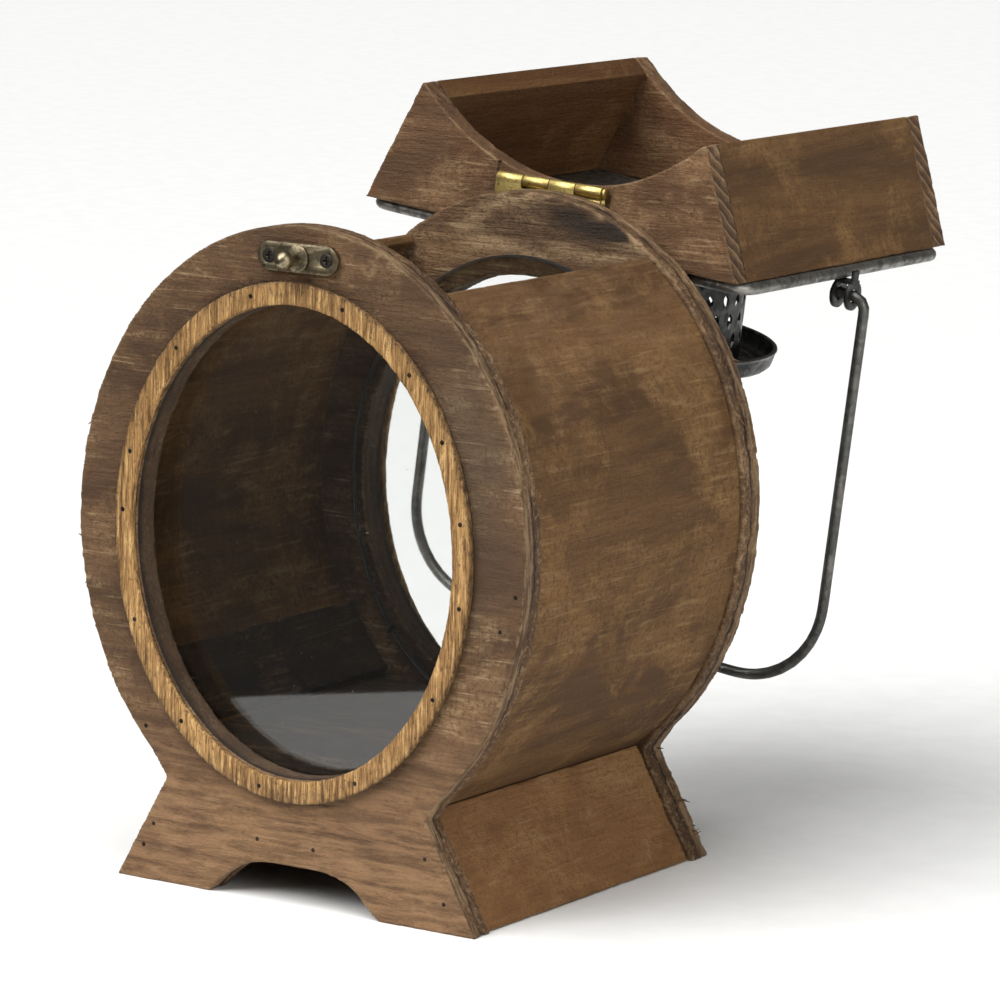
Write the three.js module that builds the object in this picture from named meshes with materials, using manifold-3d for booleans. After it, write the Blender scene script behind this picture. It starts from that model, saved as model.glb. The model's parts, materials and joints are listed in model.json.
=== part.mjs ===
// Wooden candle lantern: an oval drum with two glazed windows on a flared base, and a hopper-shaped
// lid with a metal vent, hinged at the back and shown thrown fully open with its wire bail hanging.
// Millimetres, +Z up. The front faces -Y. The lid's pieces are drawn as if the lid were shut, in one
// group that is then turned half a turn about the hinge pin.

import * as THREE from 'three';
import { mergeVertices } from 'three/addons/utils/BufferGeometryUtils.js';
import Module from 'manifold-3d';

const wasm = await Module();
wasm.setup();

// ---- driving dimensions -------------------------------------------------------------------------

const GAP = 0.25; // glue line or loose fit between two pieces that touch

// Case
const DRUM = { halfWidth: 86.6, halfHeight: 100, centreZ: 118.9 };
const CASE_HALF_DEPTH = 70.7; // to the outer faces of both end boards
const FRONT_BOARD_T = 9.4;
const BACK_BOARD_T = 10.7;
const WAIST = { x: 50.4, z: 35.1 };
const FOOT_HALF_WIDTH = 70.4;
const DRUM_FOOT_X = 56; // where the oval gives way to the straight run down to the waist
const ARCH = { halfWidth: 33, height: 12.8, halfFlat: 6 };
const SKIN_INSET = 1.3; // how far the bent sides lie below the rims of the end boards
const SKIN_T = 3.2;
const MOUTH_HALF_WIDTH = 47.5; // the bent sides stop here, which leaves the top open
const BASE_SIDE_T = 6;
const FLOOR = { topZ: 47.5, bottomZ: 38, halfWidthTop: 53.9, halfWidthBottom: 43 };
const LINING = { lowZ: 48, highZ: 70.6, thickness: 3.4 };

// Windows
const WINDOW_CENTRE = { x: -1.4, z: 117.5 };
const FRONT_WINDOW = { halfWidth: 61.8, halfHeight: 76 };
const BACK_WINDOW = { halfWidth: 63, halfHeight: 73 };
const TRIM = { innerX: 62.1, innerZ: 76.3, outerX: 69.2, outerZ: 83.7, thickness: 2.5 };
const PANE = { halfWidth: 66.5, halfHeight: 80, thickness: 2.2 };
const SPRIG = { wireRadius: 0.7, bend: 1.2, depth: 4, reach: 4.5, angles: [42, 138, 222, 318] };

// Lid, drawn shut
const LID_HALF_DEPTH = 72.1;
const LID_TOP_Z = 239;
const LID_FOOT = { x: 56.9, z: 195.7 }; // lowest outer corner of a side wall
const LID_HALF_WIDTH_TOP = 74.9;
const LID_END_T = 8.4;
const LID_SIDE_T = 7.6;
const LID_SEAT_GAP = 0.5; // between the shut lid and the drum
const PLATE = { halfX: 77.1, halfY: 68.2, sheet: 0.8, rim: 4.1, rimWidth: 4, corner: 9 };
const VENT = { radius: 33.5, sheet: 0.8, height: 44, lip: 1.6 };
const VENT_HOLES = { rows: 4, perRow: 27, rowPitch: 7, firstZ: 13.3, turnDeg: -2.8, width: 3.6, height: 5.8 };
const CAP = { radius: 46.6, depth: 6.8, sheet: 0.9, shoulder: 3.6, flare: 0.8 };

// Hinge
const PIN_RADIUS = 1.05;
const HINGE = { y: 73.3, z: 220, tiltDeg: 3.4, length: 42, knuckles: 4, barrelRadius: 2.1 };
const LEAF = { height: 14, thickness: 1, screwX: 12.5, screwZ: 8.6 };
const OPEN_ANGLE = -Math.PI;

// Bail
const BAIL = { wireRadius: 1.95, legX: 84.9, drop: 140, bend: 31, topBend: 4.5, endX: 73.2 };
const BAIL_PIVOT_ABOVE_RIM = 5.4;
const BAIL_HEAD = { overhang: 0.8, length: 1 };
const EAR = { radius: 5.1, thickness: 1.1, outerX: 79.7, innerX: 74.1, bore: 2.45 };
const EAR_STRAP = { halfWidth: 2.8, lapHalfWidth: 1.7 };

// Latch
const LATCH_PLATE = { halfLength: 15.4, halfHeight: 4.6, thickness: 1.5, screwX: 11 };
const KNOB = { z: 208.9, seatRadius: 4.4, neckRadius: 1.6, neckLength: 4, ballRadius: 3.1, ballSegments: 6 };
const HOOK = { z: 229.4, width: 4.6, thickness: 1.4, tipRadius: 4.4, rivetRadius: 1.5 };

// Small fasteners: head radius, head height, shank radius, shank length
const LATCH_SCREW = { head: 2.3, cone: 1.0, shank: 1.1, length: 7.5 };
const LEAF_SCREW = { head: 2.0, cone: 0.8, shank: 0.95, length: 6.5 };
const TACK = { head: 2.1, cone: 0.7, shank: 0.8, length: 6 };
const TACK_Y = [-46, 0, 46];
const PILOT_CLEARANCE = 0.15;

const OVAL_SEGMENTS = 36; // half the straight chords in a whole large oval
const SKIN_SEGMENTS = 20; // along one bent side
const SMALL_SEGMENTS = 12; // round a bore, pin or screw

// ---- materials ----------------------------------------------------------------------------------

function finish(color, roughness, metalness) {
  return () => new THREE.MeshStandardMaterial({ color, roughness, metalness });
}

const stainedWood = finish(0x6b5238, 0.7, 0);
const darkWood = finish(0x4a3626, 0.8, 0);
const oak = finish(0xb08850, 0.6, 0);
const brass = finish(0xb59a4a, 0.35, 0.9);
const agedBrass = finish(0x6e5a34, 0.45, 0.8);
const galvanised = finish(0x70706c, 0.5, 0.8);
const darkSteel = finish(0x3a3936, 0.5, 0.8);
const glass = () => new THREE.MeshStandardMaterial({
  color: 0xdfe8e4, roughness: 0.05, metalness: 0, transparent: true, opacity: 0.3,
});

// ---- solids -------------------------------------------------------------------------------------

function toSolid(geometry) {
  const bare = geometry.clone();
  bare.deleteAttribute('normal');
  bare.deleteAttribute('uv');
  const merged = mergeVertices(bare, 1e-4);
  return new wasm.Manifold(new wasm.Mesh({
    numProp: 3,
    vertProperties: new Float32Array(merged.attributes.position.array),
    triVerts: new Uint32Array(merged.index.array),
  }));
}

function toGeometry(solid) {
  const { vertProperties, triVerts } = solid.getMesh();
  const geometry = new THREE.BufferGeometry();
  geometry.setAttribute('position', new THREE.BufferAttribute(vertProperties, 3));
  geometry.setIndex(new THREE.BufferAttribute(triVerts, 1));
  geometry.computeVertexNormals();
  return geometry;
}

function join(...geometries) {
  return toGeometry(geometries.map(toSolid).reduce((whole, next) => whole.add(next)));
}

function cut(geometry, ...tools) {
  return toGeometry(tools.map(toSolid).reduce((whole, tool) => whole.subtract(tool), toSolid(geometry)));
}

// A prism whose outline is drawn in X and Z, between two Y planes.
function slab(shape, lowY, highY, curveSegments = OVAL_SEGMENTS) {
  const geometry = new THREE.ExtrudeGeometry(shape, {
    depth: highY - lowY, bevelEnabled: false, curveSegments,
  });
  return geometry.rotateX(Math.PI / 2).translate(0, highY, 0);
}

function box(lowX, highX, lowY, highY, lowZ, highZ) {
  return new THREE.BoxGeometry(highX - lowX, highY - lowY, highZ - lowZ)
    .translate((lowX + highX) / 2, (lowY + highY) / 2, (lowZ + highZ) / 2);
}

// A round bar along Y, for boring holes and for rivets.
function rodY(x, z, lowY, highY, radius, segments = SMALL_SEGMENTS) {
  return new THREE.CylinderGeometry(radius, radius, highY - lowY, segments)
    .translate(x, (lowY + highY) / 2, z);
}

function rodX(lowX, highX, y, z, radius, segments = SMALL_SEGMENTS) {
  return new THREE.CylinderGeometry(radius, radius, highX - lowX, segments)
    .rotateZ(Math.PI / 2).translate((lowX + highX) / 2, y, z);
}

function revolve(profile, segments = SMALL_SEGMENTS) {
  return new THREE.LatheGeometry(profile.map(([r, z]) => new THREE.Vector2(r, z)), segments)
    .rotateX(Math.PI / 2);
}

function ovalShape(halfWidth, halfHeight, x = WINDOW_CENTRE.x, z = WINDOW_CENTRE.z) {
  return new THREE.Shape().absellipse(x, z, halfWidth, halfHeight, 0, 2 * Math.PI, false);
}

// Points along a route through a list of corners, each rounded by an arc of its own bend radius.
function roundedRoute(corners, bendRadii) {
  const arcSteps = 10;
  const route = [corners[0].clone()];
  for (let i = 1; i < corners.length - 1; i += 1) {
    const radius = bendRadii[i - 1];
    const into = corners[i].clone().sub(corners[i - 1]).normalize();
    const out = corners[i + 1].clone().sub(corners[i]).normalize();
    const turn = into.angleTo(out);
    const start = corners[i].clone().addScaledVector(into, -radius * Math.tan(turn / 2));
    const towardsCentre = out.clone().addScaledVector(into, -out.dot(into)).normalize();
    const centre = start.clone().addScaledVector(towardsCentre, radius);
    for (let k = 0; k <= arcSteps; k += 1) {
      const angle = (turn * k) / arcSteps;
      route.push(centre.clone()
        .addScaledVector(towardsCentre, -radius * Math.cos(angle))
        .addScaledVector(into, radius * Math.sin(angle)));
    }
  }
  route.push(corners[corners.length - 1].clone());
  return route;
}

// A bent wire of round section. Long straight runs are split, so that the curve through them stays straight.
function bentWire(corners, bendRadii, wireRadius, steps, sides) {
  const longestRun = 3;
  const route = roundedRoute(corners, bendRadii);
  const points = [];
  for (let i = 1; i < route.length; i += 1) {
    const runs = Math.max(1, Math.round(route[i].distanceTo(route[i - 1]) / longestRun));
    for (let k = 0; k < runs; k += 1) {
      points.push(route[i - 1].clone().lerp(route[i], k / runs));
    }
  }
  points.push(route[route.length - 1]);
  const section = new THREE.Shape().absarc(0, 0, wireRadius, 0, 2 * Math.PI, false);
  return new THREE.ExtrudeGeometry(section, {
    steps, curveSegments: sides, extrudePath: new THREE.CatmullRomCurve3(points),
  });
}

// ---- scene graph helpers ------------------------------------------------------------------------

function addTo(group, name, geometry, makeMaterial) {
  const mesh = new THREE.Mesh(geometry, makeMaterial());
  mesh.name = name;
  group.add(mesh);
  return mesh;
}

const SIDES = [['right', 1], ['left', -1]];

// ---- fasteners ----------------------------------------------------------------------------------

// Countersunk screw with a cross recess; the head's flat top is at z = 0 and the shank points down.
function screwGeometry({ head, cone, shank, length }) {
  const body = revolve([
    [0, 0], [head, 0], [head, -0.25], [shank, -cone], [shank, -length + 2], [0, -length], [0, 0],
  ].reverse());
  const slotWidth = head * 0.26;
  const slotLength = head * 1.2;
  const slotDepth = cone * 0.8;
  const slotX = new THREE.BoxGeometry(slotLength, slotWidth, 2 * slotDepth);
  const slotY = new THREE.BoxGeometry(slotWidth, slotLength, 2 * slotDepth);
  return cut(body, join(slotX, slotY));
}

function tackGeometry({ head, cone, shank, length }) {
  return revolve([
    [0, -length], [shank, -length + 2], [shank, -GAP], [head, -GAP],
    [head * 0.85, cone * 0.6], [head * 0.45, cone], [0, cone],
  ], 10);
}

// ---- case ---------------------------------------------------------------------------------------

function endBoardShape() {
  const joinAngle = Math.acos(DRUM_FOOT_X / DRUM.halfWidth);
  const shape = new THREE.Shape();
  shape.moveTo(-FOOT_HALF_WIDTH, 0);
  shape.lineTo(-ARCH.halfWidth, 0);
  shape.bezierCurveTo(-24, 9, -20, ARCH.height, -ARCH.halfFlat, ARCH.height);
  shape.lineTo(ARCH.halfFlat, ARCH.height);
  shape.bezierCurveTo(20, ARCH.height, 24, 9, ARCH.halfWidth, 0);
  shape.lineTo(FOOT_HALF_WIDTH, 0);
  shape.lineTo(WAIST.x, WAIST.z);
  shape.absellipse(0, DRUM.centreZ, DRUM.halfWidth, DRUM.halfHeight, -joinAngle, Math.PI + joinAngle, false);
  shape.lineTo(-WAIST.x, WAIST.z);
  shape.closePath();
  return shape;
}

function endBoard(window, lowY, highY, bores) {
  const shape = endBoardShape();
  shape.holes.push(ovalShape(window.halfWidth, window.halfHeight));
  return cut(slab(shape, lowY, highY), ...bores);
}

// A strip of the drum's wall between two angles of the oval, mirrored for the left-hand side.
function wallStrip(inset, thickness, lowAngle, highAngle, side, lowY, highY) {
  const outer = [DRUM.halfWidth - inset, DRUM.halfHeight - inset];
  const inner = outer.map((half) => half - thickness);
  const [first, last] = side > 0 ? [lowAngle, highAngle] : [Math.PI - highAngle, Math.PI - lowAngle];
  const shape = new THREE.Shape();
  shape.absellipse(0, DRUM.centreZ, ...outer, first, last, false);
  shape.absellipse(0, DRUM.centreZ, ...inner, last, first, true);
  shape.closePath();
  return slab(shape, lowY, highY, SKIN_SEGMENTS);
}

function angleAtHeight(z, inset) {
  return Math.asin((z - DRUM.centreZ) / (DRUM.halfHeight - inset));
}

function mirroredPolygon(points, side) {
  const ordered = side > 0 ? points : points.map(([x, z]) => [-x, z]).reverse();
  return new THREE.Shape(ordered.map(([x, z]) => new THREE.Vector2(x, z)));
}

// A base side leans outwards to the floor, and its top edge is scribed to the drum's curve.
function baseSide(side, lowY, highY) {
  const topX = WAIST.x - SKIN_INSET;
  const footX = FOOT_HALF_WIDTH - SKIN_INSET;
  const lean = (footX - topX) / WAIST.z;
  const highZ = WAIST.z + 4;
  const highX = footX - lean * highZ;
  const section = mirroredPolygon([
    [highX - BASE_SIDE_T, highZ], [footX - BASE_SIDE_T, GAP], [footX, GAP], [highX, highZ],
  ], side);
  const inset = SKIN_INSET - GAP;
  const drum = ovalShape(DRUM.halfWidth - inset, DRUM.halfHeight - inset, 0, DRUM.centreZ);
  return cut(slab(section, lowY, highY), slab(drum, lowY - 1, highY + 1));
}

// The places where a sprig enters its board, just outside the pane's edge.
function sprigPlaces() {
  const clear = SPRIG.wireRadius + 0.5;
  return SPRIG.angles.map((degrees) => {
    const angle = THREE.MathUtils.degToRad(degrees);
    return {
      x: WINDOW_CENTRE.x + (PANE.halfWidth + clear) * Math.cos(angle),
      z: WINDOW_CENTRE.z + (PANE.halfHeight + clear) * Math.sin(angle),
      inward: new THREE.Vector3(-Math.cos(angle), 0, -Math.sin(angle)),
    };
  });
}

function addWindow(group, name, boardInnerY, towardsInside) {
  const nearY = boardInnerY + towardsInside * GAP;
  const farY = nearY + towardsInside * PANE.thickness;
  const pane = slab(ovalShape(PANE.halfWidth, PANE.halfHeight), Math.min(nearY, farY), Math.max(nearY, farY));
  addTo(group, `${name}_window_pane`, pane, glass);
  const wireY = farY + towardsInside * (SPRIG.wireRadius + GAP);
  sprigPlaces().forEach(({ x, z, inward }, index) => {
    const root = new THREE.Vector3(x, boardInnerY - towardsInside * (SPRIG.depth - 0.5), z);
    const bend = new THREE.Vector3(x, wireY, z);
    const tip = bend.clone().addScaledVector(inward, SPRIG.reach);
    const sprig = bentWire([root, bend, tip], [SPRIG.bend], SPRIG.wireRadius, 10, 4);
    addTo(group, `${name}_pane_sprig_${index + 1}`, sprig, darkSteel);
  });
}

function trimRing(outerFaceY, outward) {
  const shape = ovalShape(TRIM.outerX, TRIM.outerZ);
  shape.holes.push(ovalShape(TRIM.innerX, TRIM.innerZ));
  const nearY = outerFaceY + outward * GAP;
  const farY = outerFaceY + outward * TRIM.thickness;
  return slab(shape, Math.min(nearY, farY), Math.max(nearY, farY));
}

function buildCase(group) {
  const frontInnerY = -CASE_HALF_DEPTH + FRONT_BOARD_T;
  const backInnerY = CASE_HALF_DEPTH - BACK_BOARD_T;
  const sprigBore = SPRIG.wireRadius + PILOT_CLEARANCE;
  const latchBore = LATCH_SCREW.shank + PILOT_CLEARANCE;
  const frontBores = sprigPlaces().map(({ x, z }) => (
    rodY(x, z, frontInnerY - SPRIG.depth, frontInnerY + 1, sprigBore, 8)));
  for (const [, side] of SIDES) {
    const x = side * LATCH_PLATE.screwX;
    const tipY = -CASE_HALF_DEPTH + LATCH_SCREW.length;
    frontBores.push(rodY(x, KNOB.z, -CASE_HALF_DEPTH - 1, tipY, latchBore, 8));
  }
  const backBores = sprigPlaces().map(({ x, z }) => (
    rodY(x, z, backInnerY - 1, backInnerY + SPRIG.depth, sprigBore, 8)));
  for (const [, side] of SIDES) {
    const { x, z } = leafScrewPlace(side, -1);
    const bore = LEAF_SCREW.shank + PILOT_CLEARANCE;
    backBores.push(rodY(x, z, CASE_HALF_DEPTH - LEAF_SCREW.length, CASE_HALF_DEPTH + 1, bore, 8));
  }
  addTo(group, 'front_board', endBoard(FRONT_WINDOW, -CASE_HALF_DEPTH, frontInnerY, frontBores), stainedWood);
  addTo(group, 'back_board', endBoard(BACK_WINDOW, backInnerY, CASE_HALF_DEPTH, backBores), stainedWood);

  const lowY = frontInnerY + GAP;
  const highY = backInnerY - GAP;
  const skinTop = Math.acos(MOUTH_HALF_WIDTH / (DRUM.halfWidth - SKIN_INSET));
  const skinFoot = angleAtHeight(WAIST.z + GAP, SKIN_INSET);
  const liningInset = SKIN_INSET + SKIN_T + GAP;
  for (const [word, side] of SIDES) {
    const skin = wallStrip(SKIN_INSET, SKIN_T, skinFoot, skinTop, side, lowY, highY);
    addTo(group, `side_skin_${word}`, skin, stainedWood);
    const lining = wallStrip(liningInset, LINING.thickness, angleAtHeight(LINING.lowZ, liningInset),
      angleAtHeight(LINING.highZ, liningInset), side, lowY, highY);
    addTo(group, `lining_strip_${word}`, lining, darkWood);
    addTo(group, `base_side_${word}`, baseSide(side, lowY, highY), stainedWood);
  }

  const paneSlot = 2 * GAP + PANE.thickness;
  const floorShape = new THREE.Shape([
    new THREE.Vector2(-FLOOR.halfWidthBottom, FLOOR.bottomZ),
    new THREE.Vector2(FLOOR.halfWidthBottom, FLOOR.bottomZ),
    new THREE.Vector2(FLOOR.halfWidthTop, FLOOR.topZ),
    new THREE.Vector2(-FLOOR.halfWidthTop, FLOOR.topZ),
  ]);
  addTo(group, 'floor_board', slab(floorShape, frontInnerY + paneSlot, backInnerY - paneSlot), darkWood);

  addWindow(group, 'front', frontInnerY, 1);
  addWindow(group, 'back', backInnerY, -1);
  addTo(group, 'front_trim_ring', trimRing(-CASE_HALF_DEPTH, -1), oak);
  addTo(group, 'back_trim_ring', trimRing(CASE_HALF_DEPTH, 1), oak);
}

// ---- latch --------------------------------------------------------------------------------------

// A plate with rounded ends and countersunk screw holes, lying in XZ with its outer face towards -Y.
function latchPlate(z, backY, bore) {
  const { halfLength, halfHeight, thickness, screwX } = LATCH_PLATE;
  const flatX = halfLength - halfHeight;
  const shape = new THREE.Shape();
  shape.absarc(flatX, z, halfHeight, -Math.PI / 2, Math.PI / 2, false);
  shape.absarc(-flatX, z, halfHeight, Math.PI / 2, 1.5 * Math.PI, false);
  shape.closePath();
  const holes = SIDES.map(([, side]) => countersink(side * screwX, z, backY - thickness, -1, LATCH_SCREW));
  if (bore > 0) holes.push(rodY(0, z, backY - thickness - 1, backY + 1, bore));
  return cut(slab(shape, backY - thickness, backY, 10), ...holes);
}

// The hole that a countersunk screw needs, from the plate's outer face at faceY.
function countersink(x, z, faceY, outward, { head, cone, shank }) {
  const clear = PILOT_CLEARANCE;
  const hole = revolve([
    [0, -8], [shank + clear, -8], [shank + clear, -cone - clear], [head + clear, -0.25 - clear],
    [head + clear, 1], [0, 1],
  ]);
  return hole.rotateX(-outward * Math.PI / 2).translate(x, faceY, z);
}

function addScrewY(group, name, x, z, faceY, outward, size, makeMaterial) {
  const screw = addTo(group, name, screwGeometry(size), makeMaterial);
  screw.rotation.x = -outward * Math.PI / 2;
  screw.position.set(x, faceY, z);
}

// A turned knob: a flanged seat, a hollowed neck that the hook closes round, and a ball.
function knobGeometry() {
  const { seatRadius, neckRadius, neckLength, ballRadius, ballSegments } = KNOB;
  const ballZ = neckLength + ballRadius * 0.9;
  const profile = [
    [0, 0], [seatRadius, 0], [seatRadius, 0.4], [seatRadius - 0.5, 0.8],
    [neckRadius, 1], [neckRadius, neckLength],
  ];
  const firstDeg = -55;
  for (let step = 0; step < ballSegments; step += 1) {
    const angle = THREE.MathUtils.degToRad(firstDeg + ((90 - firstDeg) * step) / ballSegments);
    profile.push([ballRadius * Math.cos(angle), ballZ + ballRadius * Math.sin(angle)]);
  }
  profile.push([0, ballZ + ballRadius]);
  return revolve(profile, 20);
}

function buildKnob(group) {
  const backY = -CASE_HALF_DEPTH - GAP;
  const faceY = backY - LATCH_PLATE.thickness;
  addTo(group, 'knob_plate', latchPlate(KNOB.z, backY, 0), agedBrass);
  const knob = addTo(group, 'latch_knob', knobGeometry(), agedBrass);
  knob.rotation.x = Math.PI / 2;
  knob.position.set(0, faceY - GAP, KNOB.z);
  for (const [word, side] of SIDES) {
    const x = side * LATCH_PLATE.screwX;
    addScrewY(group, `knob_plate_screw_${word}`, x, KNOB.z, faceY, -1, LATCH_SCREW, darkSteel);
  }
}

// The swinging arm, drawn latched: pivot at the origin, hanging down to the knob, notch open to -X.
function hookArmGeometry() {
  const reach = HOOK.z - KNOB.z;
  const neck = KNOB.neckRadius + 0.35;
  const half = HOOK.width / 2;
  const at = (shape) => slab(shape, -HOOK.thickness / 2, HOOK.thickness / 2, 8);
  const boss = at(new THREE.Shape().absarc(0, 0, 4, 0, 2 * Math.PI, false));
  const bar = box(-half, half, -HOOK.thickness / 2, HOOK.thickness / 2, -reach, 0);
  const tip = at(new THREE.Shape().absarc(0.6, -reach, HOOK.tipRadius, 0, 2 * Math.PI, false));
  const tab = box(-1.6, 1.6, -HOOK.thickness / 2, HOOK.thickness / 2, -reach - 8, -reach - 3);
  const seat = rodY(0, -reach, -2, 2, neck);
  const mouth = box(-8, 0, -2, 2, -reach - neck, -reach + neck);
  const bore = rodY(0, 0, -2, 2, HOOK.rivetRadius + 0.08);
  return cut(join(boss, bar, tip, tab), seat, mouth, bore);
}

function buildHook(group) {
  const backY = -LID_HALF_DEPTH - GAP;
  const faceY = backY - LATCH_PLATE.thickness;
  addTo(group, 'hook_plate', latchPlate(HOOK.z, backY, HOOK.rivetRadius + 0.08), agedBrass);
  for (const [word, side] of SIDES) {
    const x = side * LATCH_PLATE.screwX;
    addScrewY(group, `hook_plate_screw_${word}`, x, HOOK.z, faceY, -1, LATCH_SCREW, darkSteel);
  }
  const armY = faceY - GAP - HOOK.thickness / 2;
  const headZ = HOOK.thickness + 2 * GAP;
  const rivet = addTo(group, 'hook_rivet', revolve([
    [0, -LATCH_PLATE.thickness], [HOOK.rivetRadius, -LATCH_PLATE.thickness], [HOOK.rivetRadius, headZ],
    [2.6, headZ], [2.3, headZ + 0.7], [1.2, headZ + 1.1], [0, headZ + 1.2],
  ]), agedBrass);
  rivet.rotation.x = Math.PI / 2;
  rivet.position.set(0, faceY, HOOK.z);

  // With the lid thrown open the arm hangs plumb, which is half a turn and the hinge's tilt twice over
  // away from its latched place.
  const arm = new THREE.Group();
  arm.position.set(0, armY, HOOK.z);
  arm.rotation.y = Math.PI + 2 * THREE.MathUtils.degToRad(HINGE.tiltDeg);
  addTo(arm, 'hook_arm', hookArmGeometry(), agedBrass);
  group.add(arm);
}

// ---- hinge --------------------------------------------------------------------------------------

const hingeTilt = THREE.MathUtils.degToRad(HINGE.tiltDeg);
const hingePoint = new THREE.Vector3(0, HINGE.y, HINGE.z);
const hingeAxis = new THREE.Vector3(Math.cos(hingeTilt), 0, -Math.sin(hingeTilt));

// A leaf screw's place; up is 1 for the lid's leaf and -1 for the case's leaf.
function leafScrewPlace(side, up) {
  return new THREE.Vector3(side * LEAF.screwX, 0, up * LEAF.screwZ)
    .applyAxisAngle(new THREE.Vector3(0, 1, 0), hingeTilt).add(hingePoint);
}

function leafGeometry(up, firstKnuckle) {
  const { length, knuckles, barrelRadius } = HINGE;
  const pitch = length / knuckles;
  const innerY = -barrelRadius;
  const outerY = innerY + LEAF.thickness;
  const nearZ = up * (barrelRadius + 0.4);
  const farZ = up * LEAF.height;
  const pieces = [box(-length / 2, length / 2, innerY, outerY, Math.min(nearZ, farZ), Math.max(nearZ, farZ))];
  for (let i = firstKnuckle; i < knuckles; i += 2) {
    const lowX = -length / 2 + i * pitch + 0.15;
    const highX = lowX + pitch - 0.3;
    pieces.push(box(lowX, highX, innerY, outerY, Math.min(0, nearZ + up), Math.max(0, nearZ + up)));
    pieces.push(rodX(lowX, highX, 0, 0, barrelRadius, 20));
  }
  const bore = rodX(-length, length, 0, 0, PIN_RADIUS + 0.08);
  const holes = SIDES.map(([, side]) => (
    countersink(side * LEAF.screwX, up * LEAF.screwZ, outerY, 1, LEAF_SCREW)));
  return cut(join(...pieces), bore, ...holes);
}

function hingeFrame(group) {
  const frame = new THREE.Group();
  frame.position.copy(hingePoint);
  frame.rotation.y = hingeTilt;
  group.add(frame);
  return frame;
}

function buildHingeHalf(group, name, up, firstKnuckle) {
  const frame = hingeFrame(group);
  addTo(frame, `hinge_leaf_${name}`, leafGeometry(up, firstKnuckle), brass);
  const faceY = -HINGE.barrelRadius + LEAF.thickness;
  for (const [word, side] of SIDES) {
    const x = side * LEAF.screwX;
    addScrewY(frame, `hinge_${name}_screw_${word}`, x, up * LEAF.screwZ, faceY, 1, LEAF_SCREW, brass);
  }
}

function buildHingePin(group) {
  const half = HINGE.length / 2 + 0.3;
  const shaft = rodX(-half, half, 0, 0, PIN_RADIUS);
  const head = rodX(half - 0.05, half + 0.9, 0, 0, PIN_RADIUS * 1.7);
  addTo(hingeFrame(group), 'hinge_pin', join(shaft, head), brass);
}

// ---- lid ----------------------------------------------------------------------------------------

function drumCutter() {
  const shape = ovalShape(DRUM.halfWidth + LID_SEAT_GAP, DRUM.halfHeight + LID_SEAT_GAP, 0, DRUM.centreZ);
  return slab(shape, -CASE_HALF_DEPTH - 10, CASE_HALF_DEPTH + 10);
}

function lidEndWall(lowY, highY, tools) {
  const shape = mirroredPolygon([
    [-LID_FOOT.x, LID_FOOT.z], [LID_FOOT.x, LID_FOOT.z],
    [LID_HALF_WIDTH_TOP, LID_TOP_Z], [-LID_HALF_WIDTH_TOP, LID_TOP_Z],
  ], 1);
  return cut(slab(shape, lowY, highY), drumCutter(), ...tools);
}

function lidSideWall(side) {
  const lean = Math.atan2(LID_HALF_WIDTH_TOP - LID_FOOT.x, LID_TOP_Z - LID_FOOT.z);
  const across = LID_SIDE_T / Math.cos(lean);
  const innerY = LID_HALF_DEPTH - LID_END_T - GAP;
  const shape = mirroredPolygon([
    [LID_FOOT.x - across, LID_FOOT.z], [LID_FOOT.x, LID_FOOT.z],
    [LID_HALF_WIDTH_TOP, LID_TOP_Z], [LID_HALF_WIDTH_TOP - across, LID_TOP_Z],
  ], side);
  return cut(slab(shape, -innerY, innerY), drumCutter(), ...tackBores(side));
}

function roundedRectangle(halfX, halfY, corner) {
  const shape = new THREE.Shape();
  shape.absarc(halfX - corner, -halfY + corner, corner, -Math.PI / 2, 0, false);
  shape.absarc(halfX - corner, halfY - corner, corner, 0, Math.PI / 2, false);
  shape.absarc(-halfX + corner, halfY - corner, corner, Math.PI / 2, Math.PI, false);
  shape.absarc(-halfX + corner, -halfY + corner, corner, Math.PI, 1.5 * Math.PI, false);
  shape.closePath();
  return shape;
}

// The rolled rim stands up round a thin sheet with the smoke hole in its middle.
function lidPlateGeometry(plateZ, bores) {
  const round = PLATE.rim / 2 - 0.1;
  const outline = roundedRectangle(PLATE.halfX - round, PLATE.halfY - round, PLATE.corner - round);
  const blank = new THREE.ExtrudeGeometry(outline, {
    depth: 0.2, bevelThickness: round, bevelSize: round, bevelSegments: 3, curveSegments: 5,
  }).translate(0, 0, plateZ + round);
  const insideX = PLATE.halfX - PLATE.rimWidth;
  const insideY = PLATE.halfY - PLATE.rimWidth;
  const inside = roundedRectangle(insideX, insideY, PLATE.corner - PLATE.rimWidth);
  const pocket = new THREE.ExtrudeGeometry(inside, {
    depth: PLATE.rim, bevelEnabled: false, curveSegments: 4,
  }).translate(0, 0, plateZ + PLATE.sheet);
  const smokeHole = VENT.radius - VENT.lip;
  const hole = revolve([[0, -5], [smokeHole, -5], [smokeHole, 5], [0, 5]], 40).translate(0, 0, plateZ);
  return cut(blank, pocket, hole, ...bores);
}

// The plate is tacked down into the top edges of the two side walls.
function tackPlaces(side) {
  return TACK_Y.map((y) => [side * (LID_HALF_WIDTH_TOP - 5.3), y]);
}

function tackBores(side) {
  const radius = TACK.shank + PILOT_CLEARANCE;
  return tackPlaces(side).map(([x, y]) => new THREE.CylinderGeometry(radius, radius, 2 * TACK.length, 8)
    .rotateX(Math.PI / 2).translate(x, y, LID_TOP_Z));
}

// A pointed oval hole, cut through the tube's wall at an angle round it.
function ventHoleCutter(angle, z) {
  const { width, height } = VENT_HOLES;
  const leaf = new THREE.Shape();
  leaf.moveTo(0, -height / 2);
  leaf.quadraticCurveTo(width, 0, 0, height / 2);
  leaf.quadraticCurveTo(-width, 0, 0, -height / 2);
  return slab(leaf, -VENT.radius - 1.5, -VENT.radius + 2.5, 3).translate(0, 0, z).rotateZ(angle);
}

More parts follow.
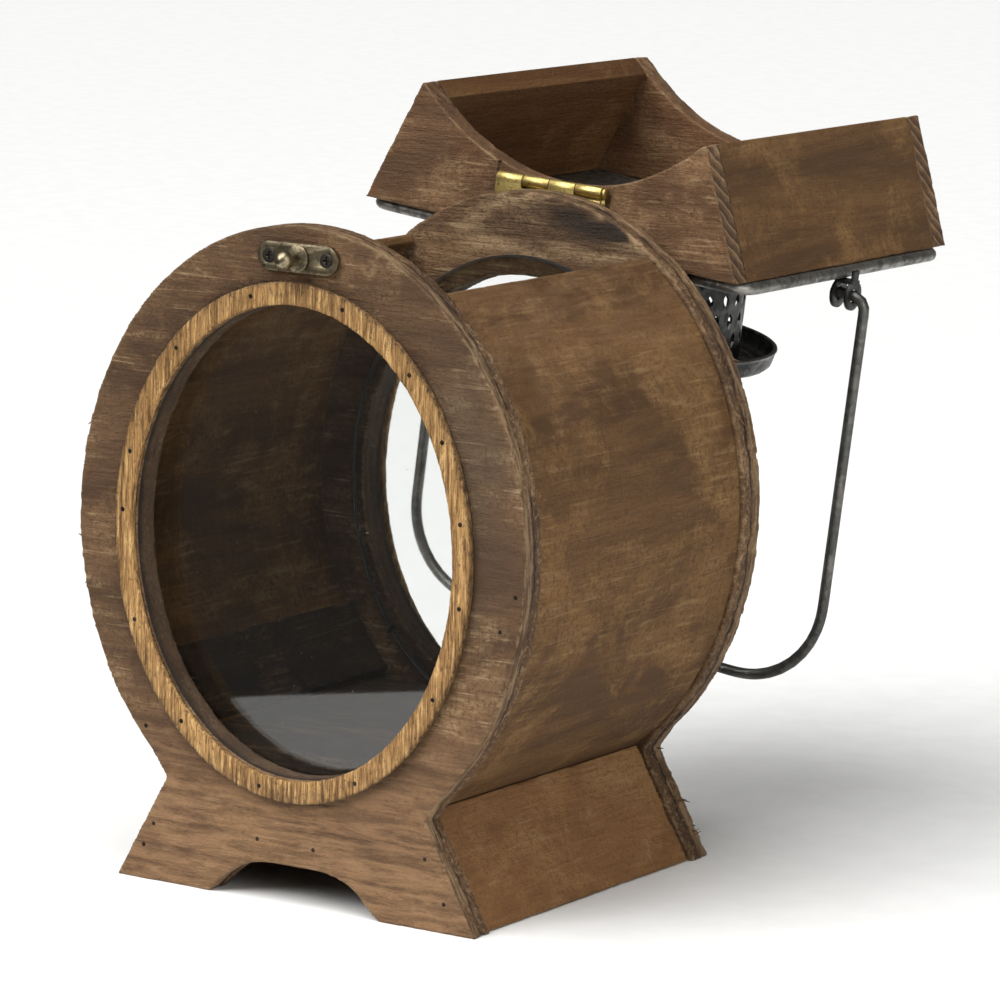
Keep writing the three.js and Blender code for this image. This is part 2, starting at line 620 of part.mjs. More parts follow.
function ventTubeGeometry(footZ) {
  const { rows, perRow, rowPitch, firstZ, turnDeg } = VENT_HOLES;
  const inner = VENT.radius - VENT.sheet;
  const top = VENT.height;
  const wall = [[inner, 0], [VENT.radius, 0], [VENT.radius, top], [inner, top], [inner, 0]];
  const tube = revolve(wall, 2 * perRow).translate(0, 0, footZ);
  const pitch = (2 * Math.PI) / perRow;
  const tools = [];
  for (let row = 0; row < rows; row += 1) {
    const turn = THREE.MathUtils.degToRad(turnDeg) + (row % 2) * (pitch / 2);
    for (let i = 0; i < perRow; i += 1) {
      tools.push(ventHoleCutter(i * pitch + turn, footZ + firstZ + row * rowPitch));
    }
  }
  return cut(tube, ...tools);
}

// A shallow pan, upside down over the tube: its rim hangs down to depth below the top.
function ventCapGeometry(undersideZ) {
  const { radius, depth, sheet, shoulder, flare } = CAP;
  const outside = [[0, sheet]];
  const inside = [];
  const arcSteps = 3;
  for (let step = 0; step <= arcSteps; step += 1) {
    const angle = (step / arcSteps) * (Math.PI / 2);
    const x = radius - shoulder - flare;
    const z = sheet - shoulder;
    outside.push([x + shoulder * Math.sin(angle), z + shoulder * Math.cos(angle)]);
    inside.push([x + (shoulder - sheet) * Math.sin(angle), z + (shoulder - sheet) * Math.cos(angle)]);
  }
  outside.push([radius, sheet - depth]);
  inside.push([radius - sheet, sheet - depth]);
  const profile = [...outside, ...inside.reverse(), [0, 0]].reverse();
  return revolve(profile, 36).translate(0, 0, undersideZ);
}

function buildLid(group) {
  const innerY = LID_HALF_DEPTH - LID_END_T;
  const plateZ = LID_TOP_Z + GAP;
  const margin = 0.6;
  const mortise = box(-HINGE.length / 2 - margin - 1.2, HINGE.length / 2 + margin + 1.2,
    -HINGE.barrelRadius - GAP, 6, -HINGE.barrelRadius - 3, LEAF.height + margin)
    .rotateY(hingeTilt).translate(hingePoint.x, hingePoint.y, hingePoint.z);
  const leafBores = SIDES.map(([, side]) => {
    const { x, z } = leafScrewPlace(side, 1);
    return rodY(x, z, LID_HALF_DEPTH - LEAF_SCREW.length - 1.5, LID_HALF_DEPTH + 1,
      LEAF_SCREW.shank + PILOT_CLEARANCE, 8);
  });
  const plateBores = SIDES.map(([, side]) => rodY(side * LATCH_PLATE.screwX, HOOK.z,
    -LID_HALF_DEPTH - 1, -LID_HALF_DEPTH + LATCH_SCREW.length, LATCH_SCREW.shank + PILOT_CLEARANCE, 8));
  const rear = lidEndWall(innerY, LID_HALF_DEPTH, [mortise, ...leafBores]);
  const front = lidEndWall(-LID_HALF_DEPTH, -innerY, plateBores);
  addTo(group, 'lid_wall_rear', rear, stainedWood);
  addTo(group, 'lid_wall_front', front, stainedWood);
  for (const [word, side] of SIDES) addTo(group, `lid_wall_${word}`, lidSideWall(side), stainedWood);

  const allTackBores = [...tackBores(1), ...tackBores(-1)];
  addTo(group, 'lid_plate', lidPlateGeometry(plateZ, allTackBores), galvanised);
  for (const [word, side] of SIDES) {
    tackPlaces(side).forEach(([x, y], index) => {
      const tack = addTo(group, `plate_tack_${word}_${index + 1}`, tackGeometry(TACK), darkSteel);
      tack.position.set(x, y, plateZ + PLATE.sheet + 2 * GAP);
    });
  }
  const ventFootZ = plateZ + PLATE.sheet + GAP;
  addTo(group, 'vent_tube', ventTubeGeometry(ventFootZ), darkSteel);
  addTo(group, 'vent_cap', ventCapGeometry(ventFootZ + VENT.height + GAP), darkSteel);
}

// ---- bail ---------------------------------------------------------------------------------------

const bailPivotZ = LID_TOP_Z + GAP + PLATE.rim + BAIL_PIVOT_ABOVE_RIM;

// Two round ears on a strap that straddles the plate's rolled rim, drawn for the right-hand side.
function eyeletGeometry(side) {
  const { innerX, outerX, thickness, radius } = EAR;
  const { halfWidth, lapHalfWidth } = EAR_STRAP;
  const strapLowZ = LID_TOP_Z + GAP + PLATE.rim + GAP;
  const ears = [innerX, outerX].flatMap((x) => {
    const lowX = x - thickness / 2;
    const highX = x + thickness / 2;
    return [
      rodX(lowX, highX, 0, bailPivotZ, radius, 24),
      box(lowX, highX, -halfWidth, halfWidth, strapLowZ, bailPivotZ),
    ];
  });
  const lowX = innerX - thickness / 2;
  const highX = outerX + thickness / 2;
  const strap = box(lowX, highX, -halfWidth, halfWidth, strapLowZ, strapLowZ + thickness);
  const outerLap = box(highX - thickness, highX, -lapHalfWidth, lapHalfWidth, LID_TOP_Z + 1, strapLowZ + 0.5);
  const bore = rodX(lowX - 1, highX + 1, 0, bailPivotZ, EAR.bore);
  const eyelet = cut(join(...ears, strap, outerLap), bore);
  return side > 0 ? eyelet : eyelet.rotateZ(Math.PI);
}

function bailGeometry() {
  const { legX, drop, bend, topBend, endX, wireRadius } = BAIL;
  const corners = [
    [endX, 0], [legX, 0], [legX, drop], [-legX, drop], [-legX, 0], [-endX, 0],
  ].map(([x, z]) => new THREE.Vector3(x, 0, z));
  const wire = bentWire(corners, [topBend, bend, bend, topBend], wireRadius, 170, 4);
  const right = rodX(endX - BAIL_HEAD.length, endX + 0.1, 0, 0, wireRadius + BAIL_HEAD.overhang);
  return join(wire, right, right.clone().rotateZ(Math.PI));
}

function buildBail(group) {
  for (const [word, side] of SIDES) addTo(group, `bail_eyelet_${word}`, eyeletGeometry(side), darkSteel);
  const handle = new THREE.Group();
  handle.position.z = bailPivotZ;
  addTo(handle, 'bail_handle', bailGeometry(), darkSteel);
  group.add(handle);
}

// ---- assembly -----------------------------------------------------------------------------------

function buildLantern() {
  const body = new THREE.Group();
  buildCase(body);
  buildKnob(body);
  buildHingeHalf(body, 'case', -1, 0);
  buildHingePin(body);

  const lidSwing = new THREE.Group();
  lidSwing.position.copy(hingePoint);
  lidSwing.quaternion.setFromAxisAngle(hingeAxis, OPEN_ANGLE);
  const lid = new THREE.Group();
  lid.position.copy(hingePoint).negate();
  lidSwing.add(lid);
  buildLid(lid);
  buildHingeHalf(lid, 'lid', 1, 1);
  buildHook(lid);
  buildBail(lid);

  const lantern = new THREE.Group();
  lantern.add(body, lidSwing);
  return lantern;
}

// The origin is the middle of the whole footprint, on the surface that the lantern stands on.
function standOnOrigin(lantern) {
  lantern.updateMatrixWorld(true);
  const bounds = new THREE.Box3().setFromObject(lantern, true);
  const centre = bounds.getCenter(new THREE.Vector3());
  lantern.position.set(-centre.x, -centre.y, -bounds.min.z);
  return lantern;
}

export default standOnOrigin(buildLantern());
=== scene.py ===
"""Looks for the wooden candle lantern: worn stained boards, oak trim rings, glass and small metal fittings.

Everything is in metres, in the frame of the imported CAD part. The lantern's front faces -Y.
"""

import itertools
import json
import math

import bpy
import numpy as np
from mathutils import Matrix, Vector

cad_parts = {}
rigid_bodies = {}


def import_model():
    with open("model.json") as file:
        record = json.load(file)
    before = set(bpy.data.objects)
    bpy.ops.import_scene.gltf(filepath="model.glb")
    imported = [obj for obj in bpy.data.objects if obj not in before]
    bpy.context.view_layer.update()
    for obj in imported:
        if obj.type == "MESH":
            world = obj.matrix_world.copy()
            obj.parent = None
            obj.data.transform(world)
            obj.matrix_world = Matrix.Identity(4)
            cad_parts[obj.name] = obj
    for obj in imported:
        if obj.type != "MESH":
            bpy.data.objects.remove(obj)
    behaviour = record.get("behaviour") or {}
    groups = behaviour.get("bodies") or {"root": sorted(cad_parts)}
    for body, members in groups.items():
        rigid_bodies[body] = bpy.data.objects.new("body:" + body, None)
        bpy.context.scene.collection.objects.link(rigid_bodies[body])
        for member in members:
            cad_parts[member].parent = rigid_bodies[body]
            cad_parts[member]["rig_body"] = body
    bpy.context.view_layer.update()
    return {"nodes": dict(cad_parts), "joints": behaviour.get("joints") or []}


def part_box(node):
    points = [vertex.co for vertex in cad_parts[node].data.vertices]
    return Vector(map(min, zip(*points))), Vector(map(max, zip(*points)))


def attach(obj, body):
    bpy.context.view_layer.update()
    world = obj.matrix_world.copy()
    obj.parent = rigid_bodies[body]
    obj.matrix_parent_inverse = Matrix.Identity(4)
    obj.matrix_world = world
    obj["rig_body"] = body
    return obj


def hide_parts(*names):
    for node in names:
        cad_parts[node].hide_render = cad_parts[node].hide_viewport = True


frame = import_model()

MM = 0.001
UP = Vector((0, 0, 1))

# ---- places taken from the CAD frame ------------------------------------------------------------

front_low, front_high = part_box("front_board")
back_low, back_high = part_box("back_board")
CENTRE_X = (front_low.x + front_high.x) / 2
CENTRE_Y = (front_low.y + back_high.y) / 2
FRONT_FACE_Y = front_low.y
FRONT_INNER_Y = front_high.y
BACK_INNER_Y = back_low.y
BACK_FACE_Y = back_high.y
DRUM_TOP_Z = front_high.z

DRUM_HALF_WIDTH = 86.6 * MM
DRUM_HALF_HEIGHT = 100 * MM
DRUM_CENTRE_Z = DRUM_TOP_Z - DRUM_HALF_HEIGHT
WINDOW_X = CENTRE_X - 1.4 * MM
WINDOW_Z = 117.5 * MM
RING_OUTER = (69.2 * MM, 83.7 * MM)  # half-width and half-height of an oval
RING_MIDDLE = (66 * MM, 80.3 * MM)
WINDOW_OPENING = (61.8 * MM, 75 * MM)
FOOT_HALF_WIDTH = 70.2 * MM
WAIST_INSET = 20 * MM  # how far the waist above the feet is inside their tips
WAIST_HEIGHT = 35 * MM

joints = {joint["name"]: joint for joint in frame["joints"]}


def lid_placement():
    """Takes a place on the shut lid to where it is with the lid thrown open, as the part rests."""
    hinge = joints["lid_hinge"]
    pivot = Vector(hinge["pos_m"])
    turn = Matrix.Rotation(math.pi, 4, Vector(hinge["axis"]))
    return Matrix.Translation(pivot) @ turn @ Matrix.Translation(-pivot)


OPEN_LID = lid_placement()
CAP_FLOOR_Z = 284.55 * MM  # on the shut lid
CAP_EDGE_Z = CAP_FLOOR_Z - 5.9 * MM
CAP_EDGE_RADIUS = 46 * MM
CAP_BEAD_RADIUS = 39.5 * MM

# ---- noise and mesh helpers ---------------------------------------------------------------------


def lattice_noise(points, lump, seed):
    """Smooth noise from -1 to 1 at each point. lump is the size of one bump, a number or one per axis.

    The large numbers are the usual primes of a lattice hash.
    """
    cell = np.asarray(points) / np.asarray(lump) + 31.7 * seed
    base = np.floor(cell).astype(np.int64)
    part = cell - base
    part = part * part * (3 - 2 * part)
    total = np.zeros(len(cell))
    for corner in itertools.product((0, 1), repeat=3):
        x, y, z = (base + corner).T
        mixed = (x * 73856093) ^ (y * 19349663) ^ (z * 83492791) ^ (seed * 2654435)
        mixed = (mixed ^ (mixed >> 13)) * 1274126177
        value = ((mixed ^ (mixed >> 16)) & 0xFFFF) / 32767.5 - 1
        total += value * np.prod(np.where(corner, part, 1 - part), axis=1)
    return total


def smooth_step(low, high, values):
    """0 below low, 1 above high, and a soft rise between."""
    part = np.clip((values - low) / (high - low), 0, 1)
    return part * part * (3 - 2 * part)


def relaxed(points, edges, rounds):
    """The points after each has moved to the middle of its neighbours, this many times."""
    pairs = np.vstack((edges, edges[:, ::-1]))
    count = np.bincount(pairs[:, 0], minlength=len(points))[:, None]
    for _ in range(rounds):
        total = [np.bincount(pairs[:, 0], points[pairs[:, 1], axis], len(points)) for axis in range(3)]
        points = np.stack(total, axis=1) / np.maximum(count, 1)
    return points


def vertex_array(mesh, normals=False):
    """The places of a mesh's vertices, or their normals, one row each."""
    source, field = (mesh.vertex_normals, "vector") if normals else (mesh.vertices, "co")
    values = np.zeros(len(source) * 3)
    source.foreach_get(field, values)
    return values.reshape(-1, 3)


def edge_array(mesh):
    """The two vertices of each edge."""
    values = np.zeros(len(mesh.edges) * 2, dtype=np.int32)
    mesh.edges.foreach_get("vertices", values)
    return values.reshape(-1, 2)


def paint(mesh, name, values):
    """Keeps one number per vertex, which a material reads by that name."""
    layer = mesh.attributes.new(name, "FLOAT", "POINT")
    layer.data.foreach_set("value", values.astype(np.float32))


def add_modifier(piece, kind, **settings):
    """A new modifier at the end of a piece's stack."""
    made = piece.modifiers.new(kind.lower(), kind)
    for key, value in settings.items():
        setattr(made, key, value)
    return made


def new_piece(name, mesh, body, material, smooth=True):
    """A mesh as a piece of the lantern that rides on a body."""
    piece = bpy.data.objects.new(name, mesh)
    bpy.context.scene.collection.objects.link(piece)
    mesh.materials.clear()
    mesh.materials.append(material)
    if smooth:
        mesh.shade_smooth()
    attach(piece, body)
    return piece


class Builder:
    """Collects points and faces for one mesh made of many small forms."""

    def __init__(self):
        self.points = []
        self.faces = []

    def skin(self, rows, closed=False, capped=True):
        """Skins round rows with the same number of points each; closed joins the last to the first."""
        first = len(self.points)
        width = len(rows[0])
        for row in rows:
            self.points.extend(row)
        for r in range(len(rows) if closed else len(rows) - 1):
            low = first + r * width
            high = first + ((r + 1) % len(rows)) * width
            for c in range(width):
                d = (c + 1) % width
                self.faces.append((low + c, low + d, high + d, high + c))
        if capped and not closed:
            last = first + (len(rows) - 1) * width
            self.faces.append(tuple(first + c for c in reversed(range(width))))
            self.faces.append(tuple(last + c for c in range(width)))

    def mesh(self, name):
        made = bpy.data.meshes.new(name)
        made.from_pydata([tuple(p) for p in self.points], [], self.faces)
        made.validate()
        made.update()
        return made


def turned(profile, place, sides):
    """Rows of points for a profile of (radius, height) pairs, revolved about the placed Z axis."""
    rows = []
    for radius, height in profile:
        row = []
        for k in range(sides):
            angle = 2 * math.pi * k / sides
            row.append(place @ Vector((radius * math.cos(angle), radius * math.sin(angle), height)))
        rows.append(row)
    return rows


# ---- materials ----------------------------------------------------------------------------------


def rgb(red, green, blue):
    """A colour given in the usual 0 to 255 steps, as the shader's linear values."""
    def linear(step):
        share = step / 255
        return share / 12.92 if share <= 0.04045 else ((share + 0.055) / 1.055) ** 2.4
    return (linear(red), linear(green), linear(blue), 1.0)


class Look:
    """A material being put together from nodes. Values may be numbers, colours or node outputs."""

    def __init__(self, name, roughness=0.6, metallic=0.0):
        self.material = bpy.data.materials.new(name)
        self.material.use_nodes = True
        self.tree = self.material.node_tree
        self.shader = self.tree.nodes["Principled BSDF"]
        self.shader.inputs["Roughness"].default_value = roughness
        self.shader.inputs["Metallic"].default_value = metallic
        self.place = self.node("ShaderNodeTexCoord").outputs["Object"]

    def node(self, kind, inputs=(), **settings):
        made = self.tree.nodes.new(kind)
        for key, value in settings.items():
            setattr(made, key, value)
        for key, value in dict(inputs).items():
            self.feed(made.inputs[key], value)
        return made

    def feed(self, socket, value):
        if isinstance(value, bpy.types.NodeSocket):
            self.tree.links.new(value, socket)
        else:
            socket.default_value = value

    def stretched(self, scale, offset=(0, 0, 0), turn=(0, 0, 0)):
        """Places scaled by bumps per metre on each axis."""
        return self.node("ShaderNodeMapping", {
            "Vector": self.place, "Scale": scale, "Location": offset, "Rotation": turn,
        }).outputs["Vector"]

    def noise(self, where, scale=1.0, detail=3.0, rough=0.55, twist=0.0):
        return self.node("ShaderNodeTexNoise", {
            "Vector": where, "Scale": scale, "Detail": detail, "Roughness": rough, "Distortion": twist,
        }).outputs["Fac"]

    def span(self, value, low, high, out_low=0.0, out_high=1.0):
        """A soft step from out_low to out_high as the value goes from low to high."""
        return self.node("ShaderNodeMapRange", {
            "Value": value, "From Min": low, "From Max": high, "To Min": out_low, "To Max": out_high,
        }, clamp=True, interpolation_type="SMOOTHSTEP").outputs["Result"]

    def maths(self, operation, first, second):
        made = self.node("ShaderNodeMath", operation=operation)
        self.feed(made.inputs[0], first)
        self.feed(made.inputs[1], second)
        return made.outputs[0]

    def times(self, first, second):
        return self.maths("MULTIPLY", first, second)

    def plus(self, first, second):
        return self.maths("ADD", first, second)

    def mixed(self, share, first, second):
        """The first colour with a share of the second laid over it."""
        made = self.node("ShaderNodeMix", data_type="RGBA")
        self.feed(made.inputs[0], share)
        self.feed(made.inputs[6], first)
        self.feed(made.inputs[7], second)
        return made.outputs[2]

    def painted(self, name):
        """The number painted on the mesh under that name, 0 where there is none."""
        return self.node("ShaderNodeAttribute", attribute_name=name).outputs["Fac"]

    def set(self, socket, value):
        self.feed(self.shader.inputs[socket], value)

    def bump(self, height, strength, distance):
        self.set("Normal", self.node("ShaderNodeBump", {
            "Height": height, "Strength": strength, "Distance": distance,
        }).outputs["Normal"])


# Dark glue lines and furrows, and the painted contact shadow round the trim rings.
SEAM_AND_SHADOW_DARK = rgb(34, 25, 17)
FADED_STAIN = rgb(150, 115, 82)
# Real stain spots, and painted light that brightens the lid's inner faces.
ORANGE_STAIN_AND_INNER_LIGHT = rgb(134, 80, 42)
GREY_DIRT = rgb(82, 69, 55)
# Painted shade behind the trim rings, and the dark patch inside the back board.
DARK_PATCH_AND_SHADE = rgb(40, 33, 27)


def along(axis, with_grain, across):
    """A scale for each axis, small along the grain and large across it."""
    return tuple(with_grain if letter == axis else across for letter in "xyz")


class WoodGrain:
    """The noises that a stained board's colour and relief share."""

    def __init__(self, look, grain, seed, slant):
        self.shift = shift = (seed * 0.37, seed * 0.53, seed * 0.29)
        turn = (slant, 0, 0) if grain == "y" else (0, slant, 0)
        where = look.stretched
        self.broad = look.noise(where(along(grain, 6, 52), shift), detail=7, rough=0.68, twist=0.6)
        self.fibre = look.noise(where(along(grain, 44, 900), shift), detail=4, rough=0.7)
        self.blotch = look.noise(where((26, 26, 26), shift), detail=7, rough=0.7, twist=0.4)
        self.scuff = look.noise(where(along(grain, 40, 260), shift), detail=6, rough=0.75, twist=0.4)
        self.lines = look.noise(where(along(grain, 34, 620), shift, turn), detail=3, rough=0.6)
        self.grit = look.noise(where((620, 620, 620), shift), detail=4, rough=0.75)


def stained_wood(name, grain, seed, palette, scratch=0.5, slant=0.0, rim=None):
    """Brown-stained softwood: streaked along the grain, scuffed pale, rubbed at the edges.

    slant turns the scratches off the grain. rim holds the Y of a board's outer and inner face,
    between which its sawn rim shows two layers.
    """
    look = Look(name)
    wood = WoodGrain(look, grain, seed, slant)
    colour = stain_colour(look, wood, palette)
    colour = scuff_colour(look, wood, colour, palette["pale"], scratch)
    if rim:
        colour = rim_layers(look, colour, rim, palette["pale"], wood.grit)
    edge = look.times(look.painted("wear"), look.span(wood.scuff, 0.44, 0.62, 0.15, 1.0))
    colour = look.mixed(look.times(edge, 0.45), colour, palette["pale"])
    teeth = saw_teeth(look, wood.shift)
    colour = end_grain_colour(look, colour, teeth, palette["pale"])
    look.set("Base Color", painted_colour(look, wood, colour, palette["pale"]))
    look.set("Roughness", look.span(wood.blotch, 0.3, 0.75, 0.62, 0.85))
    look.shader.inputs["Specular IOR Level"].default_value = 0.25
    relief = look.plus(look.times(wood.scuff, 0.9), look.times(wood.grit, 0.9))
    relief = look.plus(look.times(wood.fibre, 0.6), relief)
    sawn_relief = look.times(teeth, look.times(look.painted("end_grain"), 1.5))
    look.bump(look.plus(relief, sawn_relief), strength=1.0, distance=1.3 * MM)
    return look.material


def stain_colour(look, wood, palette):
    """The stain itself, darker and lighter in streaks, blotches and pores."""
    colour = look.mixed(look.span(wood.broad, 0.36, 0.64), palette["dark"], palette["middle"])
    colour = look.mixed(look.times(look.span(wood.blotch, 0.46, 0.64), 0.85), colour, palette["light"])
    colour = look.mixed(look.times(look.span(wood.fibre, 0.54, 0.3), 0.4), colour, palette["dark"])
    return look.mixed(look.times(look.span(wood.grit, 0.5, 0.36), 0.65), colour, palette["dark"])


def scuff_colour(look, wood, colour, pale, scratch):
    """Pale rubbed patches and scratches, and the places painted as faded."""
    rubbed = look.times(look.span(wood.scuff, 0.49, 0.63), look.span(wood.blotch, 0.42, 0.6))
    rubbed = look.times(rubbed, look.span(wood.grit, 0.42, 0.56, 0.15, 1.0))
    colour = look.mixed(look.times(rubbed, scratch), colour, pale)
    scratched = look.times(look.span(wood.lines, 0.58, 0.68), look.span(wood.blotch, 0.4, 0.56))
    colour = look.mixed(look.times(scratched, scratch), colour, pale)
    faded = look.times(look.painted("faded"), look.span(wood.scuff, 0.38, 0.6, 0.15, 1.0))
    return look.mixed(look.times(faded, 0.75), colour, FADED_STAIN)


def saw_teeth(look, shift):
    """Slanting ridges that a coarse saw leaves across end grain."""
    return look.node("ShaderNodeTexWave", {
        "Vector": look.stretched((0, 120, 120), shift), "Scale": 1.0, "Distortion": 2.5, "Detail": 3.0,
    }, wave_type="BANDS", bands_direction="DIAGONAL", wave_profile="SAW").outputs["Fac"]


def end_grain_colour(look, colour, teeth, pale):
    """Dark furrows and pale ridges on the sawn ends."""
    end_grain = look.painted("end_grain")
    colour = look.mixed(look.times(end_grain, look.span(teeth, 0.2, 0.75, 0.55, 0.0)), colour, SEAM_AND_SHADOW_DARK)
    return look.mixed(look.times(end_grain, look.span(teeth, 0.7, 0.98, 0.0, 0.45)), colour, pale)


def painted_colour(look, wood, colour, pale):
    """The painted shadow round the trim ring, stains, pale halo, grey patches and dark patches painted on
    the boards; the orange stain is also painted light inside the lid, and the dark patches painted shade
    behind the ring.
    """
    # Painted shadow: a dark line on the face round the trim ring, where the ring meets the board.
    colour = look.mixed(look.times(look.painted("ring_shadow"), 0.85), colour, SEAM_AND_SHADOW_DARK)
    # Orange stain, which on the lid's inner faces is painted light.
    colour = look.mixed(look.times(look.painted("stain"), 0.5), colour, ORANGE_STAIN_AND_INNER_LIGHT)
    halo = look.times(look.painted("halo"), look.span(wood.grit, 0.3, 0.55, 0.3, 1.0))
    colour = look.mixed(look.times(halo, 0.7), colour, pale)
    grey = look.times(look.painted("grey"), look.span(wood.blotch, 0.35, 0.6, 0.3, 1.0))
    # Grey patches, then the dark colour: painted shade on the window's edge behind the ring, and the back
    # board's dark patch.
    return look.mixed(look.painted("shade_and_dark_patch"), look.mixed(grey, colour, GREY_DIRT), DARK_PATCH_AND_SHADE)


def rim_layers(look, colour, rim, pale, grit):
    """The sawn rim of an end board: a pale outer layer, a broken dark glue line, then a plain layer."""
    outer_y, inner_y = rim
    y = look.node("ShaderNodeSeparateXYZ", {"Vector": look.place}).outputs["Y"]
    waver = look.noise(look.stretched((150, 150, 150)), detail=4, rough=0.7)
    depth = look.plus(look.span(y, outer_y, inner_y), look.span(waver, 0.25, 0.75, -0.12, 0.12))
    on_rim = look.painted("rim")
    fibres = look.noise(look.stretched((90, 700, 90)), detail=4, rough=0.7)
    outer_layer = look.times(look.span(depth, 0.5, 0.3), look.span(fibres, 0.42, 0.6))
    colour = look.mixed(look.times(on_rim, look.times(outer_layer, 0.5)), colour, pale)
    flecked = look.times(look.span(depth, 0.6, 0.75), look.span(grit, 0.52, 0.62))
    colour = look.mixed(look.times(on_rim, look.times(flecked, 0.35)), colour, pale)
    line = look.times(look.span(depth, 0.48, 0.54), look.span(depth, 0.66, 0.6))
    broken = look.span(look.noise(look.stretched((60, 20, 60)), detail=4), 0.38, 0.5)
    return look.mixed(look.times(on_rim, look.times(line, look.times(broken, 0.9))), colour, SEAM_AND_SHADOW_DARK)


def oak_wood(name, seed):
    """Honey-coloured oak with a fine, nearly upright grain and open pores."""
    look = Look(name)
    shift = (seed * 0.41, seed * 0.17, seed * 0.23)
    lean = (0, 0.2, 0)
    honey = rgb(222, 182, 122)
    umber = rgb(88, 58, 30)
    broad = look.noise(look.stretched((60, 60, 26), shift), detail=5, rough=0.6, twist=0.5)
    bars = look.noise(look.stretched((1150, 700, 80), shift, lean), detail=5, rough=0.7, twist=0.2)
    pores = look.noise(look.stretched((3200, 2200, 300), shift, lean), detail=3, rough=0.6)
    specks = look.noise(look.stretched((700, 700, 500), shift), detail=4, rough=0.8)
    colour = look.mixed(look.span(broad, 0.34, 0.66), rgb(146, 109, 64), rgb(182, 140, 86))
    colour = look.mixed(look.times(look.span(bars, 0.52, 0.38), 0.85), colour, umber)
    colour = look.mixed(look.times(look.span(bars, 0.53, 0.64), 0.8), colour, honey)
    colour = look.mixed(look.times(look.span(pores, 0.46, 0.32), 0.7), colour, rgb(66, 43, 24))
    colour = look.mixed(look.times(look.span(specks, 0.44, 0.34), 0.6), colour, rgb(58, 38, 22))
    # Painted shade darkens the ring's outer edge, broken up by specks.
    edge_shade = look.times(look.painted("ring_edge_shade"), look.span(specks, 0.35, 0.55, 1.0, 0.5))
    colour = look.mixed(look.times(edge_shade, 0.85), colour, SEAM_AND_SHADOW_DARK)
    look.set("Base Color", colour)
    look.set("Roughness", look.span(bars, 0.3, 0.7, 0.66, 0.5))
    look.shader.inputs["Specular IOR Level"].default_value = 0.3
    look.bump(look.plus(bars, look.plus(pores, look.times(specks, 0.5))), strength=0.8, distance=0.7 * MM)
    return look.material


def brass(name, base, shade, tarnish, roughness):
    """Brass with darker tarnish in patches and brighter rubbed places."""
    look = Look(name, roughness, 1.0)
    cloud = look.noise(look.stretched((160, 160, 160)), detail=5, rough=0.7, twist=0.5)
    speck = look.noise(look.stretched((900, 900, 900)), detail=3, rough=0.6)
    hair = look.noise(look.stretched((120, 1600, 1600)), detail=2)
    colour = look.mixed(look.times(look.span(cloud, 0.42, 0.66), tarnish), base, shade)
    colour = look.mixed(look.times(look.span(speck, 0.6, 0.72), tarnish), colour, rgb(50, 38, 24))
    look.set("Base Color", colour)
    look.set("Roughness", look.span(cloud, 0.3, 0.7, roughness, roughness + 0.25))
    look.bump(look.plus(speck, look.times(hair, 0.6)), strength=0.25, distance=0.2 * MM)
    return look.material


def sheet_metal(name, dark, light, roughness, spangle, rust):
    """Zinc-coated or bare steel sheet: mottled, with dull crystals and a few rusty marks."""
    look = Look(name, roughness, 0.85)
    cloud = look.noise(look.stretched((70, 70, 70)), detail=6, rough=0.7, twist=0.6)
    flake = look.node("ShaderNodeTexVoronoi", {
        "Vector": look.stretched((420, 420, 420)), "Scale": 1.0, "Randomness": 1.0,
    }, feature="F1").outputs["Color"]
    grit = look.noise(look.stretched((1100, 1100, 1100)), detail=3, rough=0.6)
    share = look.plus(look.times(cloud, 1 - spangle), look.times(flake, spangle))
    colour = look.mixed(look.span(share, 0.3, 0.7), dark, light)
    colour = look.mixed(look.times(look.span(grit, 0.6, 0.75), 0.5), colour, rgb(34, 32, 30))
    colour = look.mixed(look.times(look.span(cloud, 0.56, 0.74), rust), colour, rgb(96, 62, 40))
    look.set("Base Color", colour)
    look.set("Roughness", look.span(share, 0.25, 0.75, roughness + 0.14, roughness - 0.1))
    look.bump(look.plus(grit, look.times(cloud, 0.8)), strength=0.3, distance=0.3 * MM)
    return look.material


def window_glass():
    """Clear old glass, very slightly wavy, with a dark cut edge."""
    look = Look("window_glass_clear", 0.02)
    low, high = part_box("back_window_pane")
    seen = look.node("ShaderNodeSeparateXYZ", {"Vector": look.place}).outputs
    across = look.maths("DIVIDE", look.maths("SUBTRACT", seen["X"], WINDOW_X), (high.x - low.x) / 2)
    upright = look.maths("DIVIDE", look.maths("SUBTRACT", seen["Z"], WINDOW_Z), (high.z - low.z) / 2)
    reach = look.plus(look.times(across, across), look.times(upright, upright))
    face_ends, edge_starts = 0.98, 0.99
    clear = (0.99, 1, 0.995, 1)
    cut = (0.03, 0.03, 0.02, 1)
    look.set("Base Color", look.mixed(look.span(reach, face_ends, edge_starts), clear, cut))
    look.set("Roughness", look.span(reach, face_ends, edge_starts, 0.02, 0.9))
    look.shader.inputs["Transmission Weight"].default_value = 1.0
    look.shader.inputs["IOR"].default_value = 1.5
    look.bump(look.noise(look.stretched((14, 14, 14)), detail=1), strength=0.05, distance=1 * MM)
    return look.material


def plain(name, colour, roughness):
    """One colour with a very faint speckle."""
    look = Look(name, roughness)
    speckle = look.noise(look.stretched((60, 60, 60)), detail=3)
    deeper = tuple(0.975 * c for c in colour[:3]) + (1,)
    look.set("Base Color", look.mixed(look.span(speckle, 0.4, 0.6), colour, deeper))
    return look.material


def wood_palette(dark, middle, light, pale):
    """The four colours of a stained wood, each given as red, green and blue steps."""
    return {"dark": rgb(*dark), "middle": rgb(*middle), "light": rgb(*light), "pale": rgb(*pale)}


